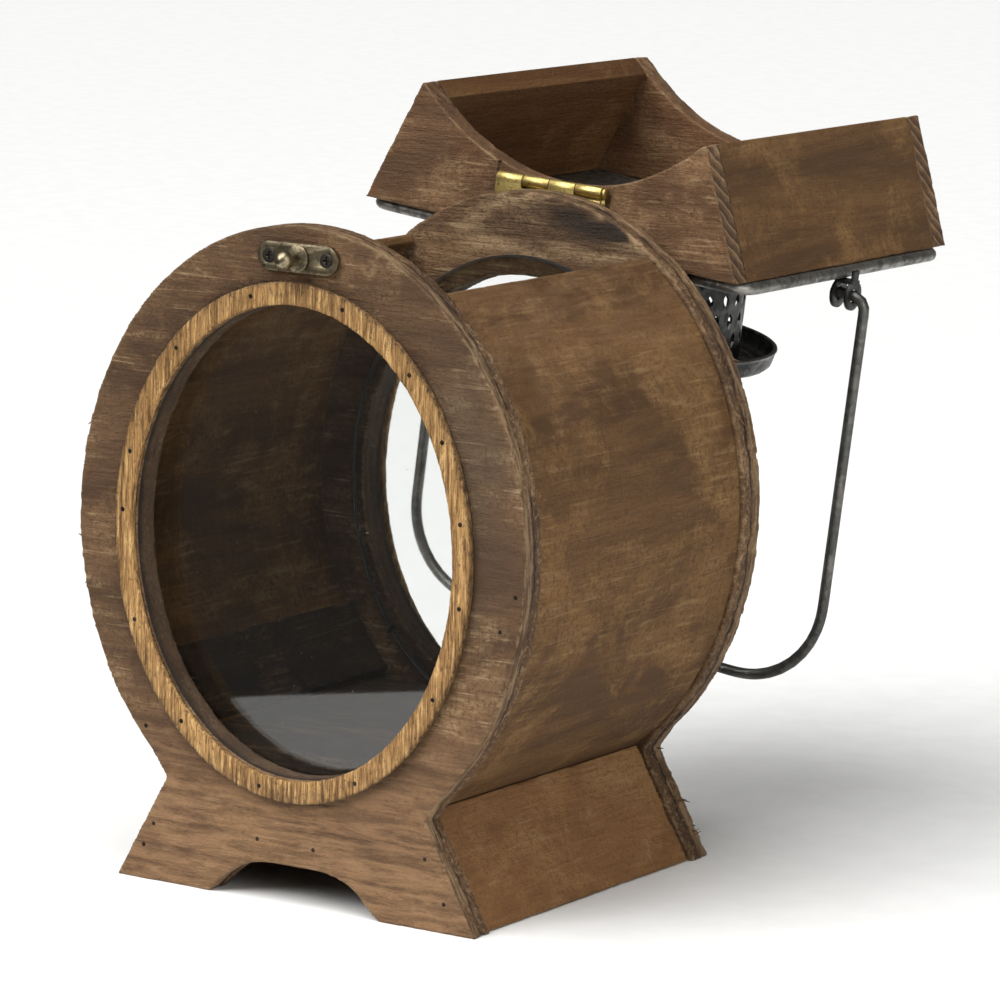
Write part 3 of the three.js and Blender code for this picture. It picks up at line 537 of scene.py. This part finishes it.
BROWN = wood_palette((74, 52, 34), (106, 79, 54), (128, 99, 69), (180, 152, 116))
RED_BROWN = wood_palette((80, 54, 28), (113, 81, 46), (134, 100, 60), (168, 138, 96))
BASE_BROWN = wood_palette((116, 80, 47), (142, 102, 63), (156, 118, 76), (184, 150, 108))
LID_BROWN = wood_palette((90, 64, 42), (126, 95, 66), (146, 114, 82), (178, 150, 114))
INNER = wood_palette((38, 28, 18), (56, 42, 28), (72, 54, 37), (112, 90, 66))

# ---- worn boards --------------------------------------------------------------------------------


def dense_mesh(node, depth):
    """The node's surface rebuilt in small even quads."""
    holder = bpy.data.objects.new("dense", frame["nodes"][node].data.copy())
    bpy.context.scene.collection.objects.link(holder)
    add_modifier(holder, "WELD", merge_threshold=1e-6)
    add_modifier(holder, "REMESH", mode="SHARP", octree_depth=depth, scale=0.95,
                 use_remove_disconnected=False)
    graph = bpy.context.evaluated_depsgraph_get()
    mesh = bpy.data.meshes.new_from_object(holder.evaluated_get(graph))
    bpy.data.objects.remove(holder)
    return mesh


def worn_board(node, material, slot, grain, seed, chip=0.6, depth=8, keep=0.4, marks=None, grooves=None):
    """Stands for a board's CAD node, with its edges rubbed round and chipped and its faces uneven.

    chip is the depth of the chips in mm, depth the fineness of the new surface and keep the share of its
    faces kept. marks gives the numbers to paint and grooves how far to sink each point, from the points
    and their normals.
    """
    body = frame["nodes"][node]["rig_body"]
    mesh = dense_mesh(node, depth)
    points = vertex_array(mesh)
    normals = vertex_array(mesh, normals=True)
    edges = edge_array(mesh)
    stand_out = np.einsum("ij,ij->i", points - relaxed(points, edges, 4), normals) / MM
    wear = smooth_step(0.15, 0.55, stand_out)

    inward = chip * MM * wear * chip_shape(points, grain, seed)
    ripple = lattice_noise(points, np.array(along(grain, 40, 6)) * MM, seed + 2)
    inward += 0.05 * MM * (1 - ripple)
    if grooves:
        inward += grooves(points, normals)
    rounded = 0.4 * points + 0.6 * relaxed(points, edges, 1)
    worn = rounded - normals * inward[:, None]

    mesh.vertices.foreach_set("co", worn.ravel())
    paint(mesh, "wear", wear)
    for name, values in (marks(points, normals) if marks else {}).items():
        paint(mesh, name, values)
    piece = new_piece(f"{node}_worn", mesh, body, material)
    add_modifier(piece, "DECIMATE", ratio=keep)
    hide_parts(node)


def chip_shape(points, grain, seed):
    """Long bites along the grain, small nicks and larger chunks."""
    bite = np.clip(lattice_noise(points, np.array(along(grain, 14, 2.2)) * MM, seed) - 0.05, 0, 1)
    nick = np.clip(lattice_noise(points, 2.6 * MM, seed + 1) - 0.3, 0, 1)
    chunk = np.clip(lattice_noise(points, 6 * MM, seed + 3) - 0.4, 0, 1)
    return 0.8 * bite + 1.2 * nick + 1.4 * chunk


def oval_distance(points, radii):
    """How far each point is outside an oval round the window's centre, roughly, in metres."""
    across = (points[:, 0] - WINDOW_X) / radii[0]
    upright = (points[:, 2] - WINDOW_Z) / radii[1]
    return (np.hypot(across, upright) - 1) * (radii[0] + radii[1]) / 2


def sideways(normals):
    """1 on the rim of an end board, 0 on its two faces."""
    return 1 - smooth_step(0.3, 0.6, np.abs(normals[:, 1]))


def rim_split(points, normals, outer_y, inner_y):
    """A ragged split that follows the rim of an end board, between its two layers, in metres deep."""
    depth = (points[:, 1] - outer_y) / (inner_y - outer_y)
    waver = 0.57 + 0.07 * lattice_noise(points, 9 * MM, 5)
    split = np.exp(-((depth - waver) / 0.08) ** 2)
    open_part = np.clip(0.35 + lattice_noise(points, 16 * MM, 6), 0, 1)
    return 0.7 * MM * sideways(normals) * split * open_part


def end_board_marks(points, normals, outward, outer_y, inner_y):
    """The rim's layers, the painted contact shadow round the trim ring, and the window opening's edge,
    greyed and with painted shade just behind the ring.
    """
    window = smooth_step(5 * MM, 2 * MM, np.abs(oval_distance(points, WINDOW_OPENING)))
    depth = np.clip((points[:, 1] - outer_y) / (inner_y - outer_y), 0, 1)
    # Painted shade: darkest just behind the trim ring, moderately dark further back on the window's edge.
    shade_behind_ring = 0.25 + 0.7 * smooth_step(0.34, 0.14, depth + 0.06 * lattice_noise(points, 7 * MM, 4))
    on_rim = sideways(normals)
    face = smooth_step(0.5, 0.9, outward * normals[:, 1])
    height = points[:, 2] + 9 * MM * lattice_noise(points, 25 * MM, 9)
    spots = lattice_noise(points, 9 * MM, 12) + 0.5 * lattice_noise(points, 3 * MM, 13)
    return {
        "rim": on_rim * (1 - window),
        "shade_and_dark_patch": on_rim * window * shade_behind_ring,
        "grey": 0.5 * on_rim * window,
        # Painted contact shadow along the trim ring's outer edge.
        "ring_shadow": face * np.exp(-(oval_distance(points, RING_OUTER) / (0.9 * MM)) ** 2),
        "faded": face * smooth_step(75 * MM, 30 * MM, height),
        "stain": face * smooth_step(0.75, 1.1, spots) * smooth_step(60 * MM, 20 * MM, height),
    }


def front_marks(points, normals):
    """As on any end board, with a greyed patch on the upper right."""
    marks = end_board_marks(points, normals, -1, FRONT_FACE_Y, FRONT_INNER_Y)
    patch_x, patch_z = CENTRE_X + 66 * MM, 142 * MM
    half_width, half_height = 24 * MM, 55 * MM
    across = (points[:, 0] - patch_x) / half_width
    upright = (points[:, 2] - patch_z) / half_height
    patch = 1 - np.hypot(across, upright) + 0.4 * lattice_noise(points, 14 * MM, 3)
    face = smooth_step(0.5, 0.9, -normals[:, 1])
    marks["grey"] = np.maximum(marks["grey"], 0.6 * face * smooth_step(0.0, 0.6, patch))
    return marks


def back_marks(points, normals):
    """As on the front, with a dark patch inside, above the window and under the hinge."""
    marks = end_board_marks(points, normals, 1, BACK_FACE_Y, BACK_INNER_Y)
    inside = smooth_step(0.5, 0.9, -normals[:, 1])
    stain_x, stain_half_width, stain_half_height = CENTRE_X + 10 * MM, 30 * MM, 9 * MM
    sag = 6 * MM  # the stain's ends droop with the rim above it
    across = (points[:, 0] - stain_x) / stain_half_width
    stain_z = DRUM_TOP_Z - stain_half_height - sag * across ** 2
    upright = (points[:, 2] - stain_z) / stain_half_height
    wave = 0.35 * lattice_noise(points, 8 * MM, 8) + 0.2 * lattice_noise(points, 3 * MM, 7)
    stain = 1 - np.hypot(across, upright) + wave
    core = 1 - np.hypot(across - 0.42, upright - 0.1) / 0.62 + wave
    marks["shade_and_dark_patch"] = np.maximum(marks["shade_and_dark_patch"], inside * (
        0.35 * smooth_step(0.0, 0.2, stain) + 0.55 * smooth_step(0.0, 0.4, core)))
    marks["halo"] = inside * np.exp(-((stain + 0.12) / 0.13) ** 2)
    return marks


def ring_marks(points, _normals):
    """Painted shade on a trim ring's outer edge, where it meets its board."""
    outside = oval_distance(points, RING_OUTER) + 0.5 * MM * lattice_noise(points, 4 * MM, 15)
    return {"ring_edge_shade": smooth_step(-1.6 * MM, -0.1 * MM, outside)}


def lid_inner_light(points, normals):
    """1 on the faces that look into the lid, where painted light is laid on as orange stain."""
    middle = OPEN_LID @ Vector((CENTRE_X, CENTRE_Y, DRUM_TOP_Z))
    towards = np.array(middle)[None, :] - points
    towards[:, 2] = 0
    flat = np.einsum("ij,ij->i", towards, normals) / np.maximum(np.linalg.norm(towards, axis=1), 1 * MM)
    return smooth_step(0.35, 0.6, flat)


def end_wall_marks(points, normals):
    """Orange-brown stain in spots near one end of a lid end wall, the same orange on its inner face as
    painted light, and its saw-marked ends.
    """
    spots = lattice_noise(points, 8 * MM, 12) + 0.5 * lattice_noise(points, 3 * MM, 13)
    left = smooth_step(-35 * MM, -65 * MM, points[:, 0] - CENTRE_X)
    spotted = smooth_step(0.45, 0.9, spots) * (0.15 + 0.85 * left)
    inside = lid_inner_light(points, normals)
    return {
        # Painted light: the inner faces are brightened with the orange stain.
        "stain": np.maximum(spotted, 0.35 * inside),
        "end_grain": smooth_step(0.6, 0.9, np.abs(normals[:, 0])),
    }


def side_wall_marks(points, normals):
    """Orange stain on the inner face as painted light, and the saw-marked ends of a lid side wall."""
    return {
        # Painted light: the inner faces are brightened with the orange stain.
        "stain": 0.35 * lid_inner_light(points, normals),
        "end_grain": smooth_step(0.75, 0.95, np.abs(normals[:, 1])),
    }


def skin_marks(points, _normals):
    """The bent sides are painted paler towards their top edge."""
    height = points[:, 2] + 12 * MM * lattice_noise(points, 30 * MM, 9)
    return {"faded": 0.4 * smooth_step(150 * MM, 190 * MM, height)}


def front_split(points, normals):
    return rim_split(points, normals, FRONT_FACE_Y, FRONT_INNER_Y)


def back_split(points, normals):
    return rim_split(points, normals, BACK_FACE_Y, BACK_INNER_Y)


def build_end_boards():
    front_rim = (FRONT_FACE_Y, FRONT_INNER_Y)
    back_rim = (BACK_FACE_Y, BACK_INNER_Y)
    front = stained_wood("front_board_wood", "x", 1, BROWN, slant=0.1, rim=front_rim)
    back = stained_wood("back_board_wood", "x", 2, BROWN, slant=0.1, rim=back_rim)
    shared = {"slot": "stained_board", "grain": "x", "chip": 0.9, "keep": 0.35}
    worn_board("front_board", front, seed=1, marks=front_marks, grooves=front_split, **shared)
    worn_board("back_board", back, seed=2, marks=back_marks, grooves=back_split, **shared)


def build_side_boards():
    for index, word in enumerate(("right", "left")):
        skin = stained_wood(f"side_skin_{word}_wood", "y", 3 + index, RED_BROWN, scratch=0.3, slant=0.35)
        base = stained_wood(f"base_side_{word}_wood", "y", 5 + index, BASE_BROWN, scratch=0.25, slant=0.2)
        lining = stained_wood(f"lining_strip_{word}_wood", "y", 7 + index, INNER)
        worn_board(f"side_skin_{word}", skin, "bent_ply", "y", 3 + index,
                   chip=0.3, keep=0.35, marks=skin_marks)
        worn_board(f"base_side_{word}", base, "stained_board", "y", 5 + index,
                   chip=0.5, depth=7, keep=0.6)
        worn_board(f"lining_strip_{word}", lining, "inner_wood", "y", 7 + index, chip=0.4, depth=7)
    floor = stained_wood("floor_board_wood", "x", 13, INNER)
    worn_board("floor_board", floor, "inner_wood", "x", 13, chip=0.3, depth=7)


def build_lid_walls():
    for index, word in enumerate(("right", "left")):
        wood = stained_wood(f"lid_wall_{word}_wood", "y", 9 + index, RED_BROWN, scratch=0.2, slant=0.2)
        worn_board(f"lid_wall_{word}", wood, "stained_board", "y", 9 + index, marks=side_wall_marks)
    for index, word in enumerate(("rear", "front")):
        wood = stained_wood(f"lid_wall_{word}_wood", "x", 11 + index, LID_BROWN, scratch=0.4)
        worn_board(f"lid_wall_{word}", wood, "stained_board", "x", 11 + index, marks=end_wall_marks)


def build_rings():
    for index, word in enumerate(("front", "back")):
        material = oak_wood(f"{word}_trim_ring_oak", 1 + index)
        worn_board(f"{word}_trim_ring", material, "oak_trim", "z", 21 + index, chip=0.25, marks=ring_marks)


# ---- finishes for the CAD nodes that stay -------------------------------------------------------


def finish_node(node, material, bevel=0.0, angle=35):
    """Gives a CAD node its material, softened edges and smooth curved faces, without moving a vertex."""
    piece = frame["nodes"][node]
    piece.data.materials.clear()
    piece.data.materials.append(material)
    add_modifier(piece, "WELD", merge_threshold=1e-6)
    piece.data.shade_smooth()
    if bevel:
        add_modifier(piece, "BEVEL", width=bevel, segments=2, limit_method="ANGLE",
                     angle_limit=math.radians(angle), harden_normals=True)
    else:
        add_modifier(piece, "EDGE_SPLIT", split_angle=math.radians(angle))


def finish_metal():
    bright = brass("hinge_brass_bright", rgb(200, 178, 112), rgb(118, 98, 56), tarnish=0.7, roughness=0.32)
    aged = brass("aged_brass_patina", rgb(150, 138, 112), rgb(66, 58, 46), tarnish=0.9, roughness=0.26)
    for node in ("hinge_leaf_case", "hinge_leaf_lid"):
        finish_node(node, bright, bevel=0.15 * MM)
    finish_node("hinge_pin", bright, bevel=0.1 * MM)
    for side in ("right", "left"):
        finish_node(f"hinge_case_screw_{side}", bright, bevel=0.08 * MM)
        finish_node(f"hinge_lid_screw_{side}", bright, bevel=0.08 * MM)
    for node in ("knob_plate", "hook_plate"):
        finish_node(node, aged, bevel=0.35 * MM)
    finish_node("hook_arm", aged, bevel=0.12 * MM)
    finish_node("latch_knob", aged)
    finish_node("hook_rivet", aged)

    zinc = sheet_metal("lid_plate_zinc", rgb(92, 90, 86), rgb(150, 148, 142),
                       roughness=0.45, spangle=0.3, rust=0.15)
    finish_node("lid_plate", zinc, angle=40)
    gunmetal = sheet_metal("vent_gunmetal", rgb(38, 38, 38), rgb(70, 70, 68),
                           roughness=0.42, spangle=0.3, rust=0.25)
    finish_node("vent_tube", gunmetal)
    finish_node("vent_cap", gunmetal, angle=50)
    wire = sheet_metal("bail_wire_steel", rgb(74, 74, 72), rgb(120, 118, 112),
                       roughness=0.38, spangle=0.2, rust=0.35)
    finish_node("bail_handle", wire, angle=50)
    for side in ("right", "left"):
        finish_node(f"bail_eyelet_{side}", gunmetal, bevel=0.2 * MM)
    screw = sheet_metal("small_screw_steel", rgb(40, 37, 34), rgb(84, 78, 70),
                        roughness=0.4, spangle=0.3, rust=0.5)
    for side in ("right", "left"):
        finish_node(f"knob_plate_screw_{side}", screw, bevel=0.08 * MM)
        finish_node(f"hook_plate_screw_{side}", screw, bevel=0.08 * MM)
        for number in (1, 2, 3):
            finish_node(f"plate_tack_{side}_{number}", screw, bevel=0.06 * MM)
    for word in ("front", "back"):
        for number in (1, 2, 3, 4):
            finish_node(f"{word}_pane_sprig_{number}", screw, angle=50)


def finish_glass():
    glass = window_glass()
    for word in ("front", "back"):
        finish_node(f"{word}_window_pane", glass)


# ---- small added pieces -------------------------------------------------------------------------

# Radius and height in mm of a brad's head, brad angles in degrees round a ring, and the front board's
# nail heads as mm right of the centre line and up from the table.
PIN_PROFILE = [(0.0, 0.16), (0.35, 0.14), (0.7, 0.06), (0.85, -0.1), (0.85, -0.6), (0.0, -0.6)]
RING_PIN_ANGLES = (104, 73, 47, 29, 10, -9, -32, -66, -99, -129, -157, 177, 163, 133)
FRONT_PIN_PLACES = (
    (-59, 51), (-55.5, 19), (-59.5, 11.5), (-14, 20), (8, 19.5), (51, 23), (58.5, 9.5), (83, 110.5),
    (77.5, 99),
)
ROOT_DEPTH = 0.4 * MM  # of a sliver in its board
LEFT_RIM = (148, 200)  # degrees round the drum between which slivers stay clear of the shut lid
RIGHT_RIM = (15, 31)
FLECKS = 60


def facing(place, direction):
    """A frame at a place whose Z axis looks along a direction."""
    return Matrix.Translation(place) @ Vector(direction).to_track_quat("Z", "Y").to_matrix().to_4x4()


def pin_heads(name, places, direction, material, size=1.0):
    """Small domed heads on the case, one at each place."""
    build = Builder()
    for place in places:
        profile = [(r * size * MM, h * MM) for r, h in PIN_PROFILE]
        build.skin(turned(profile, facing(place, direction), sides=10), capped=False)
    new_piece(name, build.mesh(name), "case", material)


def ring_pin_places(face_y):
    for degrees in RING_PIN_ANGLES:
        angle = math.radians(degrees)
        yield Vector((WINDOW_X + RING_MIDDLE[0] * math.cos(angle), face_y,
                      WINDOW_Z + RING_MIDDLE[1] * math.sin(angle)))


def build_pins():
    rusty = sheet_metal("pin_head_steel", rgb(26, 22, 19), rgb(58, 48, 40),
                        roughness=0.5, spangle=0.3, rust=0.6)
    front_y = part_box("front_trim_ring")[0].y
    back_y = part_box("back_trim_ring")[1].y
    pin_heads("front_ring_pins", ring_pin_places(front_y), (0, -1, 0), rusty)
    pin_heads("back_ring_pins", ring_pin_places(back_y), (0, 1, 0), rusty)
    places = [Vector((CENTRE_X + x * MM, FRONT_FACE_Y, z * MM)) for x, z in FRONT_PIN_PLACES]
    pin_heads("front_board_pins", places, (0, -1, 0), rusty, size=0.9)
    back_places = [Vector((2 * CENTRE_X - p.x, BACK_FACE_Y, p.z)) for p in places]
    pin_heads("back_board_pins", back_places, (0, 1, 0), rusty, size=0.9)


def drum_rim_place(degrees, y):
    """A place on an end board's oval rim and the way out from it."""
    angle = math.radians(degrees)
    place = Vector((CENTRE_X + (DRUM_HALF_WIDTH - ROOT_DEPTH) * math.cos(angle), y,
                    DRUM_CENTRE_Z + (DRUM_HALF_HEIGHT - ROOT_DEPTH) * math.sin(angle)))
    return place, Vector((math.cos(angle), 0, math.sin(angle)))


def splinters(name, roots, material, seed, longest):
    """Thin torn slivers standing out from a board's edge; roots are places with the way out from each."""
    dice = np.random.default_rng(seed)
    build = Builder()
    for place, outward in roots:
        lean = Vector(dice.normal(0, 0.5, 3))
        direction = (outward + lean).normalized()
        length = longest * MM * dice.uniform(0.3, 1.0)
        width = dice.uniform(0.25, 0.6) * MM
        profile = [(width, -0.6 * MM), (width, 0), (0.6 * width, 0.5 * length), (0.08 * width, length)]
        build.skin(turned(profile, facing(place, direction), sides=4))
    new_piece(name, build.mesh(name), "case", material, smooth=False)


def torn_rim(dice, degrees, y):
    """A root on a drum rim whose sliver lies nearly along the rim."""
    place, outward = drum_rim_place(degrees, y)
    along_rim = Vector((-outward.z, 0, outward.x)) * dice.choice((-1, 1))
    return place, 0.75 * outward + along_rim


def torn_foot(dice):
    """A root on the sloping edge of the back board's right foot."""
    share = dice.uniform(0.05, 1.0)
    x = CENTRE_X + FOOT_HALF_WIDTH - WAIST_INSET * share
    y = dice.uniform(BACK_INNER_Y, BACK_FACE_Y)
    return Vector((x, y, WAIST_HEIGHT * share)), Vector((0.87, 0, 0.5))


def build_splinters():
    """Torn slivers on the drum's rims, clear of the shut lid, and on the back board's right foot."""
    wood = stained_wood("splinter_wood", "z", 17, BROWN, scratch=0.4)
    dice = np.random.default_rng(5)
    front = []
    for _ in range(34):
        front.append(torn_rim(dice, dice.uniform(*LEFT_RIM), FRONT_FACE_Y + dice.uniform(0.3, 5) * MM))
    for _ in range(10):
        front.append(torn_rim(dice, dice.uniform(*RIGHT_RIM), dice.uniform(FRONT_FACE_Y, FRONT_INNER_Y)))
    splinters("front_board_splinters", front, wood, seed=3, longest=2.0)
    back = []
    for _ in range(14):
        back.append(torn_rim(dice, dice.uniform(*RIGHT_RIM), dice.uniform(BACK_INNER_Y, BACK_FACE_Y)))
    for _ in range(26):
        back.append(torn_foot(dice))
    splinters("back_board_splinters", back, wood, seed=4, longest=3.2)


def build_dust():
    """Flecks of dust on the outside of the front pane."""
    dice = np.random.default_rng(11)
    face_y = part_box("front_window_pane")[0].y
    build = Builder()
    for _ in range(FLECKS):
        angle = dice.uniform(0, 2 * math.pi)
        reach = math.sqrt(dice.uniform(0, 0.85))
        place = Vector((WINDOW_X + WINDOW_OPENING[0] * reach * math.cos(angle), face_y,
                        WINDOW_Z + WINDOW_OPENING[1] * reach * math.sin(angle)))
        size = dice.uniform(0.06, 0.2) * MM
        profile = [(0.01 * MM, 0.06 * MM), (size, 0.03 * MM), (size, 0)]
        build.skin(turned(profile, facing(place, (0, -1, 0)), sides=5))
    new_piece("front_pane_dust", build.mesh("front_pane_dust"), "case",
              plain("dust_grey", (0.42, 0.4, 0.36, 1), 0.9))


def hoop(name, radius, wire, place, material):
    """A closed round ring of round section on the lid."""
    wire_sides = 10
    angles = [2 * math.pi * k / wire_sides for k in range(wire_sides)]
    profile = [(radius + wire * math.cos(a), wire * math.sin(a)) for a in angles]
    build = Builder()
    build.skin(turned(profile, place, sides=96), closed=True)
    new_piece(name, build.mesh(name), "lid", material)


def build_cap_trim():
    """The cap's rolled edge and the pressed bead round its floor."""
    material = sheet_metal("cap_edge_steel", rgb(58, 58, 56), rgb(112, 110, 106),
                           roughness=0.36, spangle=0.2, rust=0.15)
    axis = OPEN_LID @ Matrix.Translation((CENTRE_X, CENTRE_Y, 0))
    edge = axis @ Matrix.Translation((0, 0, CAP_EDGE_Z))
    floor = axis @ Matrix.Translation((0, 0, CAP_FLOOR_Z))
    hoop("vent_cap_rolled_edge", CAP_EDGE_RADIUS, 0.75 * MM, edge, material)
    hoop("vent_cap_bead", CAP_BEAD_RADIUS, 0.6 * MM, floor, material)


# ---- stage --------------------------------------------------------------------------------------

CAMERA_PLACE = Vector((958.1, -1414.74, 416.88)) * MM + Vector((CENTRE_X, CENTRE_Y, 0))
CAMERA_AZIMUTH = math.radians(33.26)
CAMERA_ELEVATION = math.radians(9.76)
CAMERA_ROLL = math.radians(1.17)
FOCAL_WIDTHS = 5.30053  # focal length in widths of the sensor
LANTERN_MIDDLE = Vector((0, 0, 0.12))
TABLE_EDGE_REACH = 0.351  # from the lantern to the table's near edge
TABLE_HALF_WIDTH = 9
TABLE_DEPTH = 14
TABLE_THICKNESS = 0.03


def add_camera():
    azimuth, elevation = CAMERA_AZIMUTH, CAMERA_ELEVATION
    right = Vector((math.cos(azimuth), math.sin(azimuth), 0))
    ahead = Vector((-math.sin(azimuth) * math.cos(elevation),
                    math.cos(azimuth) * math.cos(elevation), -math.sin(elevation)))
    up = right.cross(ahead)
    rolled_right = math.cos(CAMERA_ROLL) * right + math.sin(CAMERA_ROLL) * up
    rolled_up = math.cos(CAMERA_ROLL) * up - math.sin(CAMERA_ROLL) * right
    data = bpy.data.cameras.new("camera")
    data.lens = FOCAL_WIDTHS * data.sensor_width
    data.clip_end = 50
    camera = bpy.data.objects.new("camera", data)
    turn = Matrix((rolled_right, rolled_up, -ahead)).transposed().to_4x4()
    camera.matrix_world = Matrix.Translation(CAMERA_PLACE) @ turn
    bpy.context.scene.collection.objects.link(camera)
    bpy.context.scene.camera = camera


def add_area_light(name, place, size, power):
    """A round softbox that looks at the lantern's middle."""
    data = bpy.data.lights.new(name, "AREA")
    data.shape = "DISK"
    data.size = size
    data.energy = power
    light = bpy.data.objects.new(name, data)
    light.location = place
    light.rotation_euler = (LANTERN_MIDDLE - Vector(place)).to_track_quat("-Z", "Y").to_euler()
    bpy.context.scene.collection.objects.link(light)


def add_sun(direction, power):
    """Even light over the whole table top, with very soft shadows."""
    data = bpy.data.lights.new("even_light", "SUN")
    data.energy = power
    data.angle = math.radians(65)
    light = bpy.data.objects.new("even_light", data)
    light.rotation_euler = Vector(direction).to_track_quat("Z", "Y").to_euler()
    bpy.context.scene.collection.objects.link(light)


def add_world():
    """A dim room for reflections and fill, with a pale background."""
    world = bpy.data.worlds.new("studio")
    bpy.context.scene.world = world
    world.use_nodes = True
    tree = world.node_tree
    room = tree.nodes["Background"]
    room.inputs["Color"].default_value = (0.8, 0.78, 0.74, 1)
    room.inputs["Strength"].default_value = 0.12
    pale = tree.nodes.new("ShaderNodeBackground")
    pale.inputs["Color"].default_value = (1, 1, 1, 1)
    path = tree.nodes.new("ShaderNodeLightPath")
    choose = tree.nodes.new("ShaderNodeMixShader")
    tree.links.new(path.outputs["Is Camera Ray"], choose.inputs[0])
    tree.links.new(room.outputs[0], choose.inputs[1])
    tree.links.new(pale.outputs[0], choose.inputs[2])
    tree.links.new(choose.outputs[0], tree.nodes["World Output"].inputs["Surface"])


def add_floor():
    """A pale table top whose near left edge shows, mirrored, in the front glass."""
    across = Vector((-0.75, -0.66, 0)).normalized()
    along_edge = Vector((-across.y, across.x, 0))
    near = across * TABLE_EDGE_REACH + Vector((CENTRE_X, CENTRE_Y, 0))
    top = []
    for side, depth in ((-1, 0), (1, 0), (1, TABLE_DEPTH), (-1, TABLE_DEPTH)):
        top.append(near + along_edge * side * TABLE_HALF_WIDTH - across * depth)
    low = [corner - UP * TABLE_THICKNESS for corner in top]
    build = Builder()
    build.skin([low, top])
    floor = bpy.data.objects.new("table_top", build.mesh("table_top"))
    floor.data.materials.append(plain("table_top_white", (0.88, 0.88, 0.87, 1), 0.8))
    bpy.context.scene.collection.objects.link(floor)


def build_stage():
    add_camera()
    add_world()
    add_floor()
    add_sun(direction=(-0.2, -0.45, 0.87), power=3.7)
    add_area_light("key_softbox", place=(-0.9, -1.9, 1.3), size=1.2, power=17)
    add_area_light("fill_softbox", place=(1.9, -0.9, 1.0), size=1.5, power=20)
    bpy.context.scene.view_settings.view_transform = "Standard"


build_stage()
build_end_boards()
build_side_boards()
build_lid_walls()
build_rings()
finish_metal()
finish_glass()
build_pins()
build_splinters()
build_dust()
build_cap_trim()
